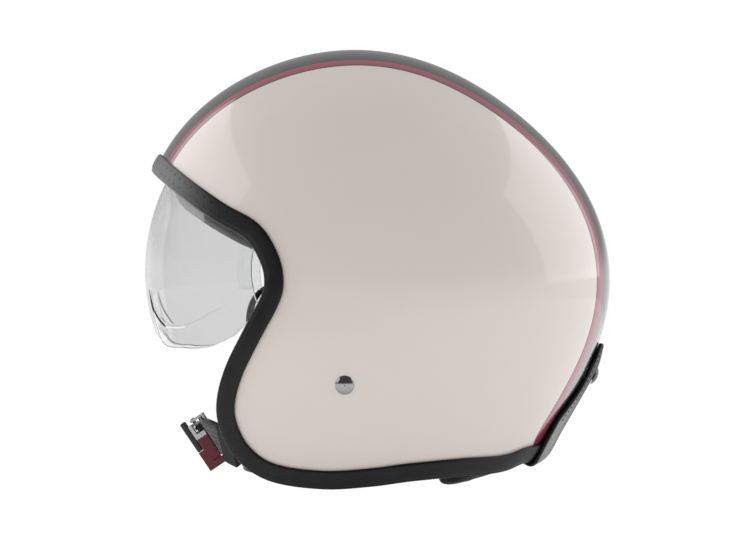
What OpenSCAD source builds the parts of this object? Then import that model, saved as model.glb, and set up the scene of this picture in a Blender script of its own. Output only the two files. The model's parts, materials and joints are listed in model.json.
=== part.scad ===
// Open face motorcycle helmet.
// Millimetres, +Z up, the face opening looks along -Y, the wearer's left side is +X.
// The shell is a star shaped skin about one centre: its side outline is a list of radii,
// and a rounded power curve carries that outline round to the full width.

/* [Shell] */
// Half of the shell's width at its widest
half_width = 122; // [118:1:126]
// Power of the rounded cross section
roundness = 2.2; // [2.1:0.05:2.3]
// Thickness of the shell wall
shell_wall = 4; // [3:0.5:4.5]

/* [Edge trim] */
// How far the trim reaches over the shell
trim_reach = 10.5; // [8:0.5:12]
// How far the trim stands off the shell
trim_proud = 2.6; // [2:0.1:3.2]
// How far the trim stands past the shell's edge
trim_lip = 2; // [1.5:0.1:2.5]

/* [Head space] */
// Half of the head space's width
head_half_width = 79; // [76:1:80]
// Half of the head space's length
head_half_length = 99; // [96:1:100]
// Height of the head space above its centre
head_height = 86; // [82:1:88]
// Thickness of the comfort lining
lining = 6.5; // [5:0.5:7]

/* [Visor] */
// Radius of the visor about its pivot line
visor_radius = 118; // [116:1:119]
// Half of the width that the visor's curve would reach
visor_half_width = 105; // [103:1:106]
// Thickness of the visor
visor_wall = 2; // [1.8:0.1:2.2]
// Radius of the pivot pins
pivot_pin_radius = 5; // [4:0.5:5]

/* [Chin strap] */
// Width of the chin strap
strap_width = 22; // [20:1:24]
// Thickness of the chin strap
strap_thickness = 1.8; // [1.5:0.1:2]
// Radius of the domed rivet that holds each strap
rivet_radius = 5.7; // [5:0.1:6]

/* [Goggle strap] */
// Thickness of the leather
leather = 2.2; // [1.8:0.1:2.4]
// Half of the goggle strap's width at its base
goggle_base_half = 38; // [34:1:39]
// Half of the goggle strap's width at its snap
goggle_tip_half = 14; // [12:1:16]

/* [Hidden] */
$fn = 48;

// Centre that every radius of the shell is measured from.
skin_centre = [0, -15, 113];
// Side outline of the shell: radius every 30 degrees, from the back, over the top, round to the front.
side_radii = [156.4, 155.4, 150.5, 151, 148, 140.2, 136, 158, 178, 186, 164, 146.3];
// Direction, above the back, of the pole that the shell's rings close on.
pole_lift = 40;
// Edge of the shell on its left side, [y, z], from the middle of the brow to the middle of the nape.
edge_points = [
    [-131.5, 190], [-126.5, 185], [-112, 173.5], [-94, 161], [-76, 150.5], [-67.5, 138], [-64.2, 126],
    [-66, 115], [-77, 94], [-87.5, 72.5], [-92.5, 54], [-91.5, 39], [-82.5, 21], [-64.5, 7.5], [-32, 2],
    [-3, 3.4], [24, 6.8], [52, 9.4], [77.5, 12], [90, 16.5], [99.6, 23]
];

trim_inside = 7;
trim_skin = 1.4;
head_centre = [0, -5, 134];
eps_gap = 0.7;

// ---------- vectors and curves ----------
function unit(v) = v / norm(v);
function mix(a, b, t) = a + (b - a) * t;
function ease(t) = let (c = max(0, min(1, t))) c * c * (3 - 2 * c);
function mirror_x(p) = [-p.x, p.y, p.z];
function turn(a, b, t) =
    let (full = acos(max(-1, min(1, a * b))))
    full < 0.001 ? a : (sin((1 - t) * full) * a + sin(t * full) * b) / sin(full);
function curve_point(a, b, c, d, t) =
    0.5 * ((2 * b) + (c - a) * t + (2 * a - 5 * b + 4 * c - d) * t * t + (3 * b - a - 3 * c + d) * t * t * t);
function loop_at(points, s) =
    let (n = len(points), i = floor(s), t = s - i)
    curve_point(points[(i + n - 1) % n], points[i % n], points[(i + 1) % n], points[(i + 2) % n], t);
function path_at(points, s) =
    let (last = len(points) - 1, i = min(last - 1, floor(s)), t = s - i)
    curve_point(points[max(0, i - 1)], points[i], points[i + 1], points[min(last, i + 2)], t);
function add(list, i = 0) = i >= len(list) ? 0 : list[i] + add(list, i + 1);

// ---------- the shell's skin ----------
function wave(a) =
    let (t = ((a % 360) + 540) % 360 - 180)
    abs(t) < 0.001 ? 1 : sin(6 * t) / (12 * tan(t / 2));
function side_radius(a) = add([for (k = [0 : 11]) side_radii[k] * wave(a - 30 * k)]);
function skin_radius(d) =
    let (side = norm([d.y, d.z]), a = atan2(d.z, d.y))
    pow(pow(abs(d.x) / half_width, roundness) + pow(side / side_radius(a), roundness), -1 / roundness);
function skin_normal(p) =
    let (
        rho = norm([p.y, p.z]),
        a = atan2(p.z, p.y),
        s = side_radius(a),
        slope = (side_radius(a + 0.5) - side_radius(a - 0.5)) * 180 / PI,
        outward = pow(rho / s, roundness - 1) / s,
        around = -outward * slope / s,
        across = sign(p.x) * pow(abs(p.x) / half_width, roundness - 1) / half_width
    )
    unit([across, outward * cos(a) - around * sin(a), outward * sin(a) + around * cos(a)]);
function on_skin(d, h) = let (p = skin_radius(d) * d) skin_centre + p + h * skin_normal(p);
function skin_width(y, z) =
    let (
        dy = y - skin_centre.y,
        dz = z - skin_centre.z,
        q = pow(norm([dy, dz]) / side_radius(atan2(dz, dy)), roundness)
    )
    q >= 1 ? 0 : half_width * pow(1 - q, 1 / roundness);

edge_half = [for (p = edge_points) [skin_width(p[0], p[1]), p[0], p[1]]];
edge_last = len(edge_points) - 1;
edge_loop = concat(
    [for (i = [0 : edge_last]) i == 0 || i == edge_last ? [0, edge_half[i].y, edge_half[i].z] : edge_half[i]],
    [for (i = [edge_last - 1 : -1 : 1]) mirror_x(edge_half[i])]
);
function edge_direction(s) = unit(loop_at(edge_loop, s) - skin_centre);
function edge_directions(count) = [for (i = [0 : count - 1]) edge_direction(i * len(edge_loop) / count)];
pole = [0, cos(pole_lift), sin(pole_lift)];

// Closed solid between two grids that share their pole: grids are [ring][column], ring 0 is one point.
module shell_between(outer, inner) {
    rings = len(outer);
    columns = len(outer[1]);
    half = 1 + (rings - 1) * columns;
    points = concat(
        [outer[0][0]], [for (r = [1 : rings - 1]) for (c = [0 : columns - 1]) outer[r][c]],
        [inner[0][0]], [for (r = [1 : rings - 1]) for (c = [0 : columns - 1]) inner[r][c]]
    );
    function at(r, c) = r == 0 ? 0 : 1 + (r - 1) * columns + c % columns;
    caps = [for (c = [0 : columns - 1]) [0, at(1, c + 1), at(1, c)]];
    walls = [for (r = [1 : rings - 2]) for (c = [0 : columns - 1]) for (f = [
        [at(r, c), at(r + 1, c + 1), at(r + 1, c)],
        [at(r, c), at(r, c + 1), at(r + 1, c + 1)]
    ]) f];
    skin = concat(caps, walls);
    back = [for (f = skin) [f[2] + half, f[1] + half, f[0] + half]];
    rim = [for (c = [0 : columns - 1]) for (f = [
        [at(rings - 1, c), at(rings - 1, c + 1) + half, at(rings - 1, c) + half],
        [at(rings - 1, c), at(rings - 1, c + 1), at(rings - 1, c + 1) + half]
    ]) f];
    polyhedron(points, concat(skin, back, rim));
}

// Closed solid between two open grids of the same size: grids are [row][column].
module slab_between(outer, inner) {
    rows = len(outer);
    columns = len(outer[0]);
    half = rows * columns;
    points = concat([for (row = outer) for (p = row) p], [for (row = inner) for (p = row) p]);
    function at(r, c) = r * columns + c;
    function quad(a, b, c, d) = [[a, b, c], [a, c, d]];
    skin = [for (r = [0 : rows - 2]) for (c = [0 : columns - 2])
        for (f = quad(at(r, c), at(r + 1, c), at(r + 1, c + 1), at(r, c + 1))) f];
    back = [for (f = skin) [f[2] + half, f[1] + half, f[0] + half]];
    ends = [for (c = [0 : columns - 2]) for (f = concat(
        quad(at(0, c), at(0, c + 1), at(0, c + 1) + half, at(0, c) + half),
        quad(at(rows - 1, c + 1), at(rows - 1, c), at(rows - 1, c) + half, at(rows - 1, c + 1) + half)
    )) f];
    sides = [for (r = [0 : rows - 2]) for (f = concat(
        quad(at(r + 1, 0), at(r, 0), at(r, 0) + half, at(r + 1, 0) + half),
        quad(at(r, columns - 1), at(r + 1, columns - 1), at(r + 1, columns - 1) + half, at(r, columns - 1) + half)
    )) f];
    polyhedron(points, concat(skin, back, ends, sides));
}

// Tube through rings of points; a closed tube joins its last ring to its first.
module tube(rings, closed = false) {
    count = len(rings);
    sides = len(rings[0]);
    points = [for (ring = rings) for (p = ring) p];
    spans = closed ? count : count - 1;
    walls = [for (r = [0 : spans - 1]) for (c = [0 : sides - 1])
        let (
            a = r * sides + c,
            b = ((r + 1) % count) * sides + c,
            e = ((r + 1) % count) * sides + (c + 1) % sides,
            d = r * sides + (c + 1) % sides
        )
        for (f = [[a, b, e], [a, e, d]]) f];
    ends = closed ? [] : [
        [for (c = [0 : sides - 1]) c],
        [for (c = [sides - 1 : -1 : 0]) (count - 1) * sides + c]
    ];
    polyhedron(points, concat(walls, ends));
}

// ---------- shell and trim ----------
shell_columns = 80;
shell_rings = 12;
function ring_share(i, rings) = 1 - pow(1 - i / rings, 1.3);
function skin_grid(directions, rings, h, reach = 1) = [for (r = [0 : rings])
    r == 0 ? [on_skin(pole, h)] : [for (d = directions) on_skin(turn(pole, d, reach * ring_share(r, rings)), h)]];

rivet_at = [-18, 62.5];
snap_angle = -17.2;
snap_direction = [0, cos(snap_angle), sin(snap_angle)];
stud_hole_radius = 2;

// Puts its children at a point with their +Z along the given direction.
module aim(point, direction) {
    tilt = acos(direction.z);
    heading = atan2(direction.y, direction.x);
    translate(point) rotate([0, tilt, heading]) children();
}

module outer_shell() {
    directions = edge_directions(shell_columns);
    color("linen") difference() {
        shell_between(
            skin_grid(directions, shell_rings, 0),
            skin_grid(directions, shell_rings, -shell_wall)
        );
        for (side = [-1, 1]) at_rivet(side, -shell_wall - 3) cylinder(r = rivet_shank_radius, h = shell_wall + 6);
        aim(on_skin(snap_direction, -10), skin_normal(snap_direction)) cylinder(r = stud_hole_radius, h = 20);
    }
}

// Point over the shell: s millimetres in from the edge, h above the skin, beside edge place k.
function over_edge(k, s, h) =
    let (
        p = on_skin(edge_direction(k), 0),
        along = unit(on_skin(edge_direction(k + 0.15), 0) - on_skin(edge_direction(k - 0.15 + len(edge_loop)), 0)),
        n = skin_normal(p - skin_centre),
        inward = cross(n, along)
    )
    on_skin(unit(p + s * inward - skin_centre), h);

module edge_trim() {
    back = -shell_wall - 0.4;
    section = [
        [0.6, 0.35], [trim_reach, 0.35], [trim_reach, trim_proud - 0.9], [trim_reach - 1.2, trim_proud],
        [1.5, trim_proud], [-trim_lip + 0.6, trim_proud - 1.4], [-trim_lip, -1.6],
        [-trim_lip + 0.5, back - 0.6], [0.8, back - trim_skin], [trim_inside, back - trim_skin],
        [trim_inside, back], [-0.3, back], [-0.3, 0.1]
    ];
    color("dimgray") tube([for (i = [0 : shell_columns - 1])
        [for (q = section) over_edge(i * len(edge_loop) / shell_columns, q[0], q[1])]], closed = true);
}

// ---------- head space and liners ----------
function head_radius(d, g) =
    let (flare = d.y < 0 ? ease(-2.5 * d.z) : 0)
    1 / norm([
        d.x / (head_half_width + g),
        d.y / ((head_half_length + g) * (1 + 0.6 * flare)),
        d.z / (d.z > 0 ? head_height + g : 260)
    ]);
function in_head(d, g) = head_centre + head_radius(d, g) * d;
function head_grid(directions, rings, g) = [for (r = [0 : rings])
    r == 0 ? [in_head(pole, g)] : [for (d = directions) in_head(turn(pole, d, ring_share(r, rings)), g)]];

visor_pivot = [0, -21, 131];
visor_power = 2.4;
visor_low = -32;
visor_swing = 54;
visor_rear_radius = 53;
function visor_x(r, grow = 0) =
    let (q = r / (visor_radius + grow))
    q >= 1 ? 0 : (visor_half_width + grow) * pow(1 - pow(q, visor_power), 1 / visor_power);

// Turns an outline of [radius, distance from the middle plane] about the visor's pivot line, on one
// side (1 is left), between two angles above straight ahead.
module about_pivot(side, low, high) {
    translate(visor_pivot) mirror([side > 0 ? 1 : 0, 0, 0])
        rotate([0, -90, 0]) rotate([0, 0, low - 90]) rotate_extrude(angle = high - low) children();
}

// The liner stays a margin inside the visor's inner face, wherever the visor swings.
visor_margin = 6;
visor_room = [-44, 100];
function visor_share(p) =
    let (q = p - visor_pivot)
    pow(norm([q.y, q.z]) / (visor_radius - visor_margin), visor_power)
        + pow(abs(q.x) / (visor_half_width - visor_margin), visor_power);
function in_visor_room(p) =
    let (a = atan2(p.z - visor_pivot.z, visor_pivot.y - p.y))
    visor_share(p) > 1 && a > visor_room[0] && a < visor_room[1];
function inside_visor(from, d, low = 50, high = 190, turns = 16) =
    let (middle = (low + high) / 2)
    turns == 0 ? from + low * d
        : visor_share(from + middle * d) > 1
            ? inside_visor(from, d, low, middle, turns - 1)
            : inside_visor(from, d, middle, high, turns - 1);

liner_columns = 40;
liner_rings = 11;
liner_reach = 0.955;
function liner_outer(d) =
    let (p = on_skin(d, -shell_wall - eps_gap))
    in_visor_room(p) ? inside_visor(skin_centre, d) : p;
module eps_liner() {
    outer = edge_directions(liner_columns);
    inner = [for (d = outer) unit(on_skin(turn(pole, d, liner_reach), -shell_wall) - head_centre)];
    outer_grid = [for (r = [0 : liner_rings]) r == 0 ? [liner_outer(pole)]
        : [for (d = outer) liner_outer(turn(pole, d, liner_reach * ring_share(r, liner_rings)))]];
    color("darkslategray") difference() {
        shell_between(outer_grid, head_grid(inner, liner_rings, lining + eps_gap));
        for (side = [-1, 1]) {
            at_pivot(side, plate_x) cylinder(r = plate_radius + 1, h = 40);
            translate([side * 95, -29, 42]) cube([50, 56, 80], center = true);
        }
    }
}

crown_columns = 36;
crown_rings = 6;
function crown_direction(a, share) =
    let (rise = 90 - share * (88 + 28 * sin(a)))
    [cos(rise) * cos(a), cos(rise) * sin(a), sin(rise)];
function crown_grid(g) = [for (r = [0 : crown_rings])
    r == 0 ? [in_head([0, 0, 1], g)]
        : [for (c = [0 : crown_columns - 1]) in_head(crown_direction(c * 360 / crown_columns, r / crown_rings), g)]];
crown_gap = 2;
module crown_liner() {
    color("gray") shell_between(crown_grid(lining - crown_gap), crown_grid(0));
}

// Padded roll along the front edge of the liner, over the brow.
brow_stations = 24;
brow_span = 5.1;
brow_reach = 1.02;
brow_depth = 6.5;
module brow_pad() {
    rings = [for (i = [0 : brow_stations])
        let (
            k = len(edge_loop) + brow_span * (1 - 2 * i / brow_stations),
            d = unit(on_skin(turn(pole, edge_direction(k), brow_reach), -shell_wall) - head_centre),
            outer = inside_visor(head_centre, d),
            inner = in_head(d, 0.5),
            across = (outer - inner) / 2,
            down = unit(pole - (pole * d) * d),
            taper = 0.45 + 0.55 * sqrt(max(0, sin(180 * i / brow_stations)))
        )
        [for (j = [0 : 9]) mix(outer, inner, 0.5)
            + taper * cos(36 * j) * across + brow_depth * taper * sin(36 * j) * down]];
    color("dimgray") tube(rings);
}

// Cheek pads: each is a cushion over a patch of the head space, outlined by side view points [y, z].
cheek_outline = [
    [-88, 106], [-73, 121], [-36, 126], [-6, 119], [18, 98], [26, 70], [20, 45], [0, 32], [-28, 29],
    [-54, 32], [-72, 46], [-84, 76]
];
cheek_middle = [-30, 76];
cheek_thickness = 19;
cheek_columns = 24;
cheek_rings = 4;
cheek_gap = 2.6;
module cheek_pad(side) {
    function toward(q) = unit([side * 82, q[0], q[1]] - head_centre);
    middle = toward(cheek_middle);
    rim = [for (i = [0 : cheek_columns - 1])
        toward(loop_at(cheek_outline, (cheek_columns - side * i) * len(cheek_outline) / cheek_columns))];
    function grid(thickness, draw) = [for (r = [0 : cheek_rings])
        let (share = r / cheek_rings, g = lining - cheek_gap - thickness * (1 - 0.65 * pow(share, 4)))
        r == 0 ? [in_head(middle, g)] : [for (d = rim) in_head(turn(middle, d, share * (1 - draw * share)), g)]];
    color("dimgray") shell_between(grid(0, 0), grid(cheek_thickness, 0.06));
}
module cheek_pad_left() cheek_pad(1);
module cheek_pad_right() cheek_pad(-1);

// Padded roll under the back of the liner.
roll_span = 57;
roll_stations = 20;
roll_half_width = 9;
roll_half_height = 16.3;
function rounded(a, power) = sign(a) * pow(abs(a), power);
module neck_roll() {
    rings = [for (i = [0 : roll_stations])
        let (
            a = roll_span * (2 * i / roll_stations - 1),
            middle = [67 * sin(a), -5 + 84 * cos(a), 31 - 12.5 * pow(abs(a) / roll_span, 1.3)]
        )
        [for (j = [0 : 9]) middle
            + roll_half_width * rounded(cos(36 * j + 18), 0.8) * [sin(a), cos(a), 0]
            + roll_half_height * rounded(sin(36 * j + 18), 0.7) * [0, 0, 1]]];
    color("dimgray") tube(rings);
}

// Press studs that hold the cheek pads to the liner.
function head_normal(d, g) =
    let (a = 0.02 * unit(cross(d, [0, 0, 1])), b = 0.02 * unit(cross(d, a)))
    unit(cross(in_head(unit(d + b), g) - in_head(unit(d - b), g), in_head(unit(d + a), g) - in_head(unit(d - a), g)));
module liner_snaps() {
    g = lining - cheek_gap + 0.9;
    color("silver") for (side = [-1, 1]) for (q = [[-58, 100], [8, 92], [-40, 40]])
        let (d = unit([side * 82, q[0], q[1]] - head_centre), n = head_normal(d, g))
        aim(in_head(d, g), n * d > 0 ? n : -n) cylinder(r = 4, h = 1.2);
}

// ---------- visor ----------
// Lower edge of the visor, [distance from the middle plane, angle above straight ahead].
visor_edge = [[0, -17], [20, -19.5], [40, -24], [59, -26.5], [78, -31], [88, -32], [95, -29.5], [99, -24]];
visor_high = 30;
function edge_angle(x, i = 0) =
    i < len(visor_edge) - 2 && visor_edge[i + 1][0] < x
        ? edge_angle(x, i + 1)
        : path_at(visor_edge, i + max(0, min(0.999, (x - visor_edge[i][0])
            / (visor_edge[i + 1][0] - visor_edge[i][0]))))[1];
visor_columns = 44;
visor_rows = 8;
visor_side_angle = asin(pow(visor_x(visor_rear_radius) / visor_half_width, visor_power / 2));
function visor_point(side_angle, a, inside) =
    let (
        grow = inside ? -visor_wall : 0,
        r = (visor_radius + grow) * pow(abs(cos(side_angle)), 2 / visor_power),
        x = sign(side_angle) * (visor_half_width + grow) * pow(abs(sin(side_angle)), 2 / visor_power)
    )
    visor_pivot + [x, -r * cos(a), r * sin(a)];
function visor_grid(inside) = [for (j = [0 : visor_rows])
    [for (i = [0 : visor_columns])
        let (
            side_angle = visor_side_angle * (2 * i / visor_columns - 1),
            x = visor_half_width * pow(abs(sin(side_angle)), 2 / visor_power)
        )
        visor_point(side_angle, mix(edge_angle(x), visor_high, j / visor_rows), inside)]];
module visor_lens() {
    color("lightcyan", 0.5) slab_between(visor_grid(false), visor_grid(true));
}

plate_radius = 30;
plate_x = 92;
plate_thickness = 3;
boss_x = 98.3;
hub_x = 99;
hub_thickness = 2.5;
hub_radius = 15;
arm_width = 24;
arm_length = 58;
washer_thickness = 0.6;
pin_end = hub_x + hub_thickness + washer_thickness + 0.1;
screw_radius = 2;
// Puts its children at the pivot with their +Z outward along X.
module at_pivot(side, x) {
    translate([side * x, visor_pivot.y, visor_pivot.z]) mirror([side > 0 ? 0 : 1, 0, 0])
        rotate([0, 90, 0]) children();
}
module visor_hub(side) {
    foot = concat(
        [for (i = [0 : 4]) let (r = 49 + 3 * i) [r, visor_x(r) + 0.2]],
        [[61, hub_x + 1], [49, hub_x + 1]]
    );
    color("lightcyan", 0.6) difference() {
        union() {
            at_pivot(side, hub_x) cylinder(r = hub_radius, h = hub_thickness);
            translate([side * (hub_x + hub_thickness / 2), visor_pivot.y - arm_length / 2, visor_pivot.z])
                cube([hub_thickness, arm_length, arm_width], center = true);
            about_pivot(side, -11, 11) polygon(foot);
        }
        at_pivot(side, hub_x - 1) cylinder(r = pivot_pin_radius + 0.05, h = 10);
    }
}
module visor_hub_left() visor_hub(1);
module visor_hub_right() visor_hub(-1);

module pivot_plate(side) {
    color("black") difference() {
        union() {
            at_pivot(side, plate_x) cylinder(r = plate_radius, h = plate_thickness);
            at_pivot(side, plate_x) cylinder(r = 9, h = boss_x - plate_x);
            at_pivot(side, plate_x) cylinder(r = pivot_pin_radius, h = pin_end - plate_x);
        }
        at_pivot(side, plate_x + 2) cylinder(r = screw_radius, h = 20);
    }
}
module pivot_plate_left() pivot_plate(1);
module pivot_plate_right() pivot_plate(-1);

module pivot_washers() {
    color("white") for (side = [-1, 1]) for (x = [boss_x, hub_x + hub_thickness + 0.05])
        at_pivot(side, x) difference() {
            cylinder(r = 11, h = washer_thickness);
            translate([0, 0, -1]) cylinder(r = pivot_pin_radius + 0.05, h = 3);
        }
}

module pivot_screws() {
    color("silver") for (side = [-1, 1]) difference() {
        union() {
            at_pivot(side, pin_end) cylinder(r = 8, h = 2.6);
            at_pivot(side, plate_x + 2.5) cylinder(r = screw_radius - 0.02, h = pin_end - plate_x - 2);
        }
        at_pivot(side, pin_end + 1.2) cylinder(r = 2.5, h = 3, $fn = 6);
    }
}

stop_radius = 22;
stop_spread = 43.5;
module visor_stops() {
    color("dimgray") for (side = [-1, 1]) for (a = [-stop_spread, visor_swing + stop_spread])
        at_pivot(side, plate_x + plate_thickness) rotate([0, 0, 270 - a]) translate([stop_radius, 0, 0])
            cylinder(r = 2.8, h = 6.5);
}

// ---------- chin strap ----------
rivet_shank_radius = 2.5;
rivet_point = [skin_width(rivet_at[0], rivet_at[1]), rivet_at[0], rivet_at[1]];
rivet_normal = skin_normal(rivet_point - skin_centre);
rivet_up = unit(cross(rivet_normal, [0, 1, 0]));
rivet_across = cross(rivet_up, rivet_normal);
rivet_height = 2.6;
anchor_depth = shell_wall + 1;
anchor_thickness = 1.6;
anchor_radius = 9;
washer_radius = 7;
strap_depth = anchor_depth + anchor_thickness + 0.05 + strap_thickness / 2;
washer_depth = strap_depth + strap_thickness / 2 + 0.05;
// Puts its children on a strap rivet's axis, h above the skin, with their +Z out of the shell.
module at_rivet(side, h) {
    mirror([side > 0 ? 0 : 1, 0, 0]) aim(rivet_point + h * rivet_normal, rivet_normal) children();
}
module strap_rivet(side) {
    dome = (rivet_radius * rivet_radius + rivet_height * rivet_height) / (2 * rivet_height);
    color("silver") at_rivet(side, 0.25) {
        intersection() {
            translate([0, 0, rivet_height - dome]) sphere(r = dome);
            cylinder(r = rivet_radius, h = rivet_height + 1);
        }
        translate([0, 0, -washer_depth - anchor_thickness - 0.8])
            cylinder(r = rivet_shank_radius - 0.03, h = washer_depth + anchor_thickness + 1.2);
    }
}
module strap_rivet_left() strap_rivet(1);
module strap_rivet_right() strap_rivet(-1);

// Steel plate and backing washer that clamp the strap's end on the rivet.
module strap_anchor(side) {
    color("gray") for (q = [[anchor_depth, anchor_radius], [washer_depth, washer_radius]])
        at_rivet(side, -q[0] - anchor_thickness) difference() {
            cylinder(r = q[1], h = anchor_thickness);
            translate([0, 0, -1]) cylinder(r = rivet_shank_radius, h = 4);
        }
}
module strap_anchor_left() strap_anchor(1);
module strap_anchor_right() strap_anchor(-1);

buckle_at = [7, -100, 29.5];
buckle_tilt = -56;
function by_rivet(up) = rivet_point - strap_depth * rivet_normal + up * rivet_up;
// Route of each strap: [place, direction of the strap's width], from its anchor to the buckle.
strap_route = [
    [by_rivet(11), rivet_across], [by_rivet(0), rivet_across], [by_rivet(-12), rivet_across],
    [[103, -27, 38], [0, 1, -0.1]], [[88, -40, 27], [0.2, 1, -0.4]], [[72, -62, 22], [0.2, 0.9, -0.7]],
    [[57, -82, 24], [0.1, 0.7, -0.8]], [[40, -97.5, 31], [0, 0.56, -0.83]], [[25, -97.8, 31], [0, 0.56, -0.83]]
];
strap_places = [for (q = strap_route) q[0]];
strap_sides = [for (q = strap_route) q[1]];
function strap_ring(side, s, width, near, far) =
    let (
        p = path_at(strap_places, s),
        along = unit(path_at(strap_places, min(s + 0.05, 8)) - path_at(strap_places, max(s - 0.05, 0))),
        w0 = path_at(strap_sides, s),
        w = unit(w0 - (w0 * along) * along),
        n = cross(along, w),
        corners = [for (q = [[-1, near], [1, near], [1, far], [-1, far]]) p + q[0] * width / 2 * w + q[1] * n]
    )
    [for (q = side > 0 ? corners : [for (i = [3 : -1 : 0]) corners[i]]) [side * q.x, q.y, q.z]];
module strap_slab(side, from, to, count, width, near, far) {
    tube([for (i = [0 : count]) strap_ring(side, mix(from, to, i / count), width, near, far)]);
}
module chin_strap(side) {
    color("black") difference() {
        strap_slab(side, 0, 8, 32, strap_width, -strap_thickness / 2, strap_thickness / 2);
        at_rivet(side, -strap_depth - 4) cylinder(r = rivet_shank_radius, h = 8);
    }
}
module chin_strap_left() chin_strap(1);
module chin_strap_right() chin_strap(-1);

module strap_pad_left() {
    color("dimgray") strap_slab(1, 4.2, 5.8, 10, strap_width + 4, strap_thickness / 2 + 0.5, strap_thickness / 2 + 5);
}

// ---------- buckle ----------
// Local axes: +X along the strap to the left, +Y across the strap, +Z toward the chin.
module at_buckle() {
    translate(buckle_at) rotate([buckle_tilt, 0, 0]) children();
}
module block(low, high) {
    translate(low) cube(high - low);
}
lever_pin_at = [2, 0, -2.2];
lever_pin_radius = 1.2;
module along_width(at, radius, from, to) {
    translate([at.x, from, at.z]) rotate([-90, 0, 0]) cylinder(r = radius, h = to - from);
}

module buckle_housing() {
    color("silver") at_buckle() difference() {
        union() {
            block([-14, -15, 4], [17, 15, 5.2]);
            for (low = [-15, 13.5]) block([-14, low, -4], [17, low + 1.5, 4.5]);
            along_width([14.8, 0, 2.4], 1.4, -14, 14);
        }
        along_width(lever_pin_at, lever_pin_radius, -20, 20);
    }
}

module buckle_lever() {
    color("firebrick") at_buckle() difference() {
        union() {
            block([-1, -12.6, -6.6], [30, 12.6, -4.5]);
            for (low = [-12.6, 10.8]) block([-0.5, low, -5], [5, low + 1.8, -0.2]);
            block([26.5, -6, -5], [30, 12, 0.6]);
            block([19, 4, -10], [30, 17, -4.5]);
            block([19, 13, -5], [30, 17, 11]);
        }
        along_width(lever_pin_at, lever_pin_radius + 0.05, -20, 20);
    }
}

module lever_grip() {
    color("black") at_buckle() block([-1, -16.5, -10], [30, 3.8, -6.65]);
}

module buckle_pawl() {
    profile = [[6.2, 4.45], [6.2, 0.45], [6.8, 0.45], [8.6, 2.6], [8.6, 4.45]];
    color("silver") at_buckle() translate([0, -7.3, 0]) rotate([-90, 0, 0]) linear_extrude(14.6) polygon(profile);
}

module lever_pin() {
    color("silver") at_buckle() along_width(lever_pin_at, lever_pin_radius - 0.02, -15.6, 15.6);
}

spring_coils = 3;
module lever_spring() {
    color("silver") at_buckle() for (side = [-1, 1]) {
        for (i = [0 : spring_coils - 1])
            translate([lever_pin_at.x, side * (8.3 + 0.6 * i), lever_pin_at.z]) rotate([90, 0, 0])
                rotate_extrude() translate([1.75, 0]) circle(r = 0.35, $fn = 16);
        translate([lever_pin_at.x, side * 10.1, lever_pin_at.z - 1.75]) rotate([0, 90, 0])
            cylinder(r = 0.3, h = 6, $fn = 24);
        translate([lever_pin_at.x, side * 8.3, lever_pin_at.z + 1.75]) rotate([0, -90, 0])
            cylinder(r = 0.3, h = 6, $fn = 24);
    }
}

tooth_pitch = 2.5;
module ratchet_tongue() {
    color("silver") at_buckle() difference() {
        union() {
            block([-30, -7.3, 1], [12, 7.3, 2.6]);
            block([-30, -12.5, 1], [-18, 12.5, 2.6]);
            for (i = [0 : 9])
                translate([-13 + tooth_pitch * i, -6, 0]) rotate([-90, 0, 0])
                    linear_extrude(12) polygon([[0, -1.2], [tooth_pitch - 0.2, -1.2], [0.4, 0.25]]);
        }
        block([-27, -11, 0], [-23.5, 11, 4]);
    }
}

module strap_keeper() {
    color("black") difference() {
        strap_slab(1, 6.1, 6.5, 2, strap_width + 5, -strap_thickness / 2 - 1.8, strap_thickness / 2 + 1.8);
        strap_slab(1, 5.9, 6.7, 2, strap_width + 0.8, -strap_thickness / 2 - 0.4, strap_thickness / 2 + 0.4);
    }
}

// ---------- goggle strap ----------
// Along the strap from its base to its tip: [angle on the shell, gap under it, half width].
strap_tip = -10.3;
flap_line = [
    [-33.6, 2.4, goggle_base_half - 4], [-30, 2.3, goggle_base_half - 8], [-26, 2.2, goggle_base_half - 13],
    [-22, 2.3, goggle_tip_half + 5], [-18.5, 2.6, goggle_tip_half + 1], [-15, 2.9, goggle_tip_half],
    [-12.5, 2.2, goggle_tip_half - 2], [strap_tip, 1.2, goggle_tip_half - 8]
];
flap_rows = 14;
flap_columns = 10;
edge_gap = 0.7;
function flap_point(v, u, h) =
    let (
        q = path_at(flap_line, v * (len(flap_line) - 1)),
        x = u * q[2],
        rise = 2.2 * u * u * (1 - ease(2.5 * v)),
        a = q[0] + rise,
        r = side_radius(a)
    )
    on_skin(unit([x, r * cos(a), r * sin(a)]), mix(q[1], edge_gap, u * u) + h);
function flap_grid(h) = [for (i = [0 : flap_rows])
    [for (j = [0 : flap_columns]) flap_point(i / flap_rows, 2 * j / flap_columns - 1, h)]];
snap_radius = 6;
snap_face = 2.75;
module goggle_strap() {
    color("black") difference() {
        slab_between(flap_grid(0), flap_grid(leather));
        at_snap(-2) cylinder(r = 2.5, h = 12);
    }
}
module at_snap(h) {
    aim(on_skin(snap_direction, h), skin_normal(on_skin(snap_direction, 0) - skin_centre)) children();
}

// Fixed root of the strap: it wraps round the trim at the nape and is riveted inside.
root_reach = 0.78;
root_line = [
    [9.6, 2.95], [1.2, 2.95], [-1.6, 2.1], [-2.5, 0.4], [-2.5, -2], [-2.2, -5.6], [-0.6, -7.2], [5, -7.2]
];
function root_grid(h) = [for (i = [0 : 2 * (len(root_line) - 1)])
    let (
        s = i / 2,
        q = path_at(root_line, s),
        before = path_at(root_line, max(0, s - 0.1)),
        after = path_at(root_line, min(len(root_line) - 1, s + 0.1)),
        way = unit(after - before),
        out = [way[1], -way[0]]
    )
    [for (j = [0 : 8]) over_edge(edge_last + root_reach * (1 - j / 4), q[0] - out[0] * h, q[1] - out[1] * h)]];
module goggle_strap_root() {
    color("black") slab_between(root_grid(-leather), root_grid(0));
}

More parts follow.
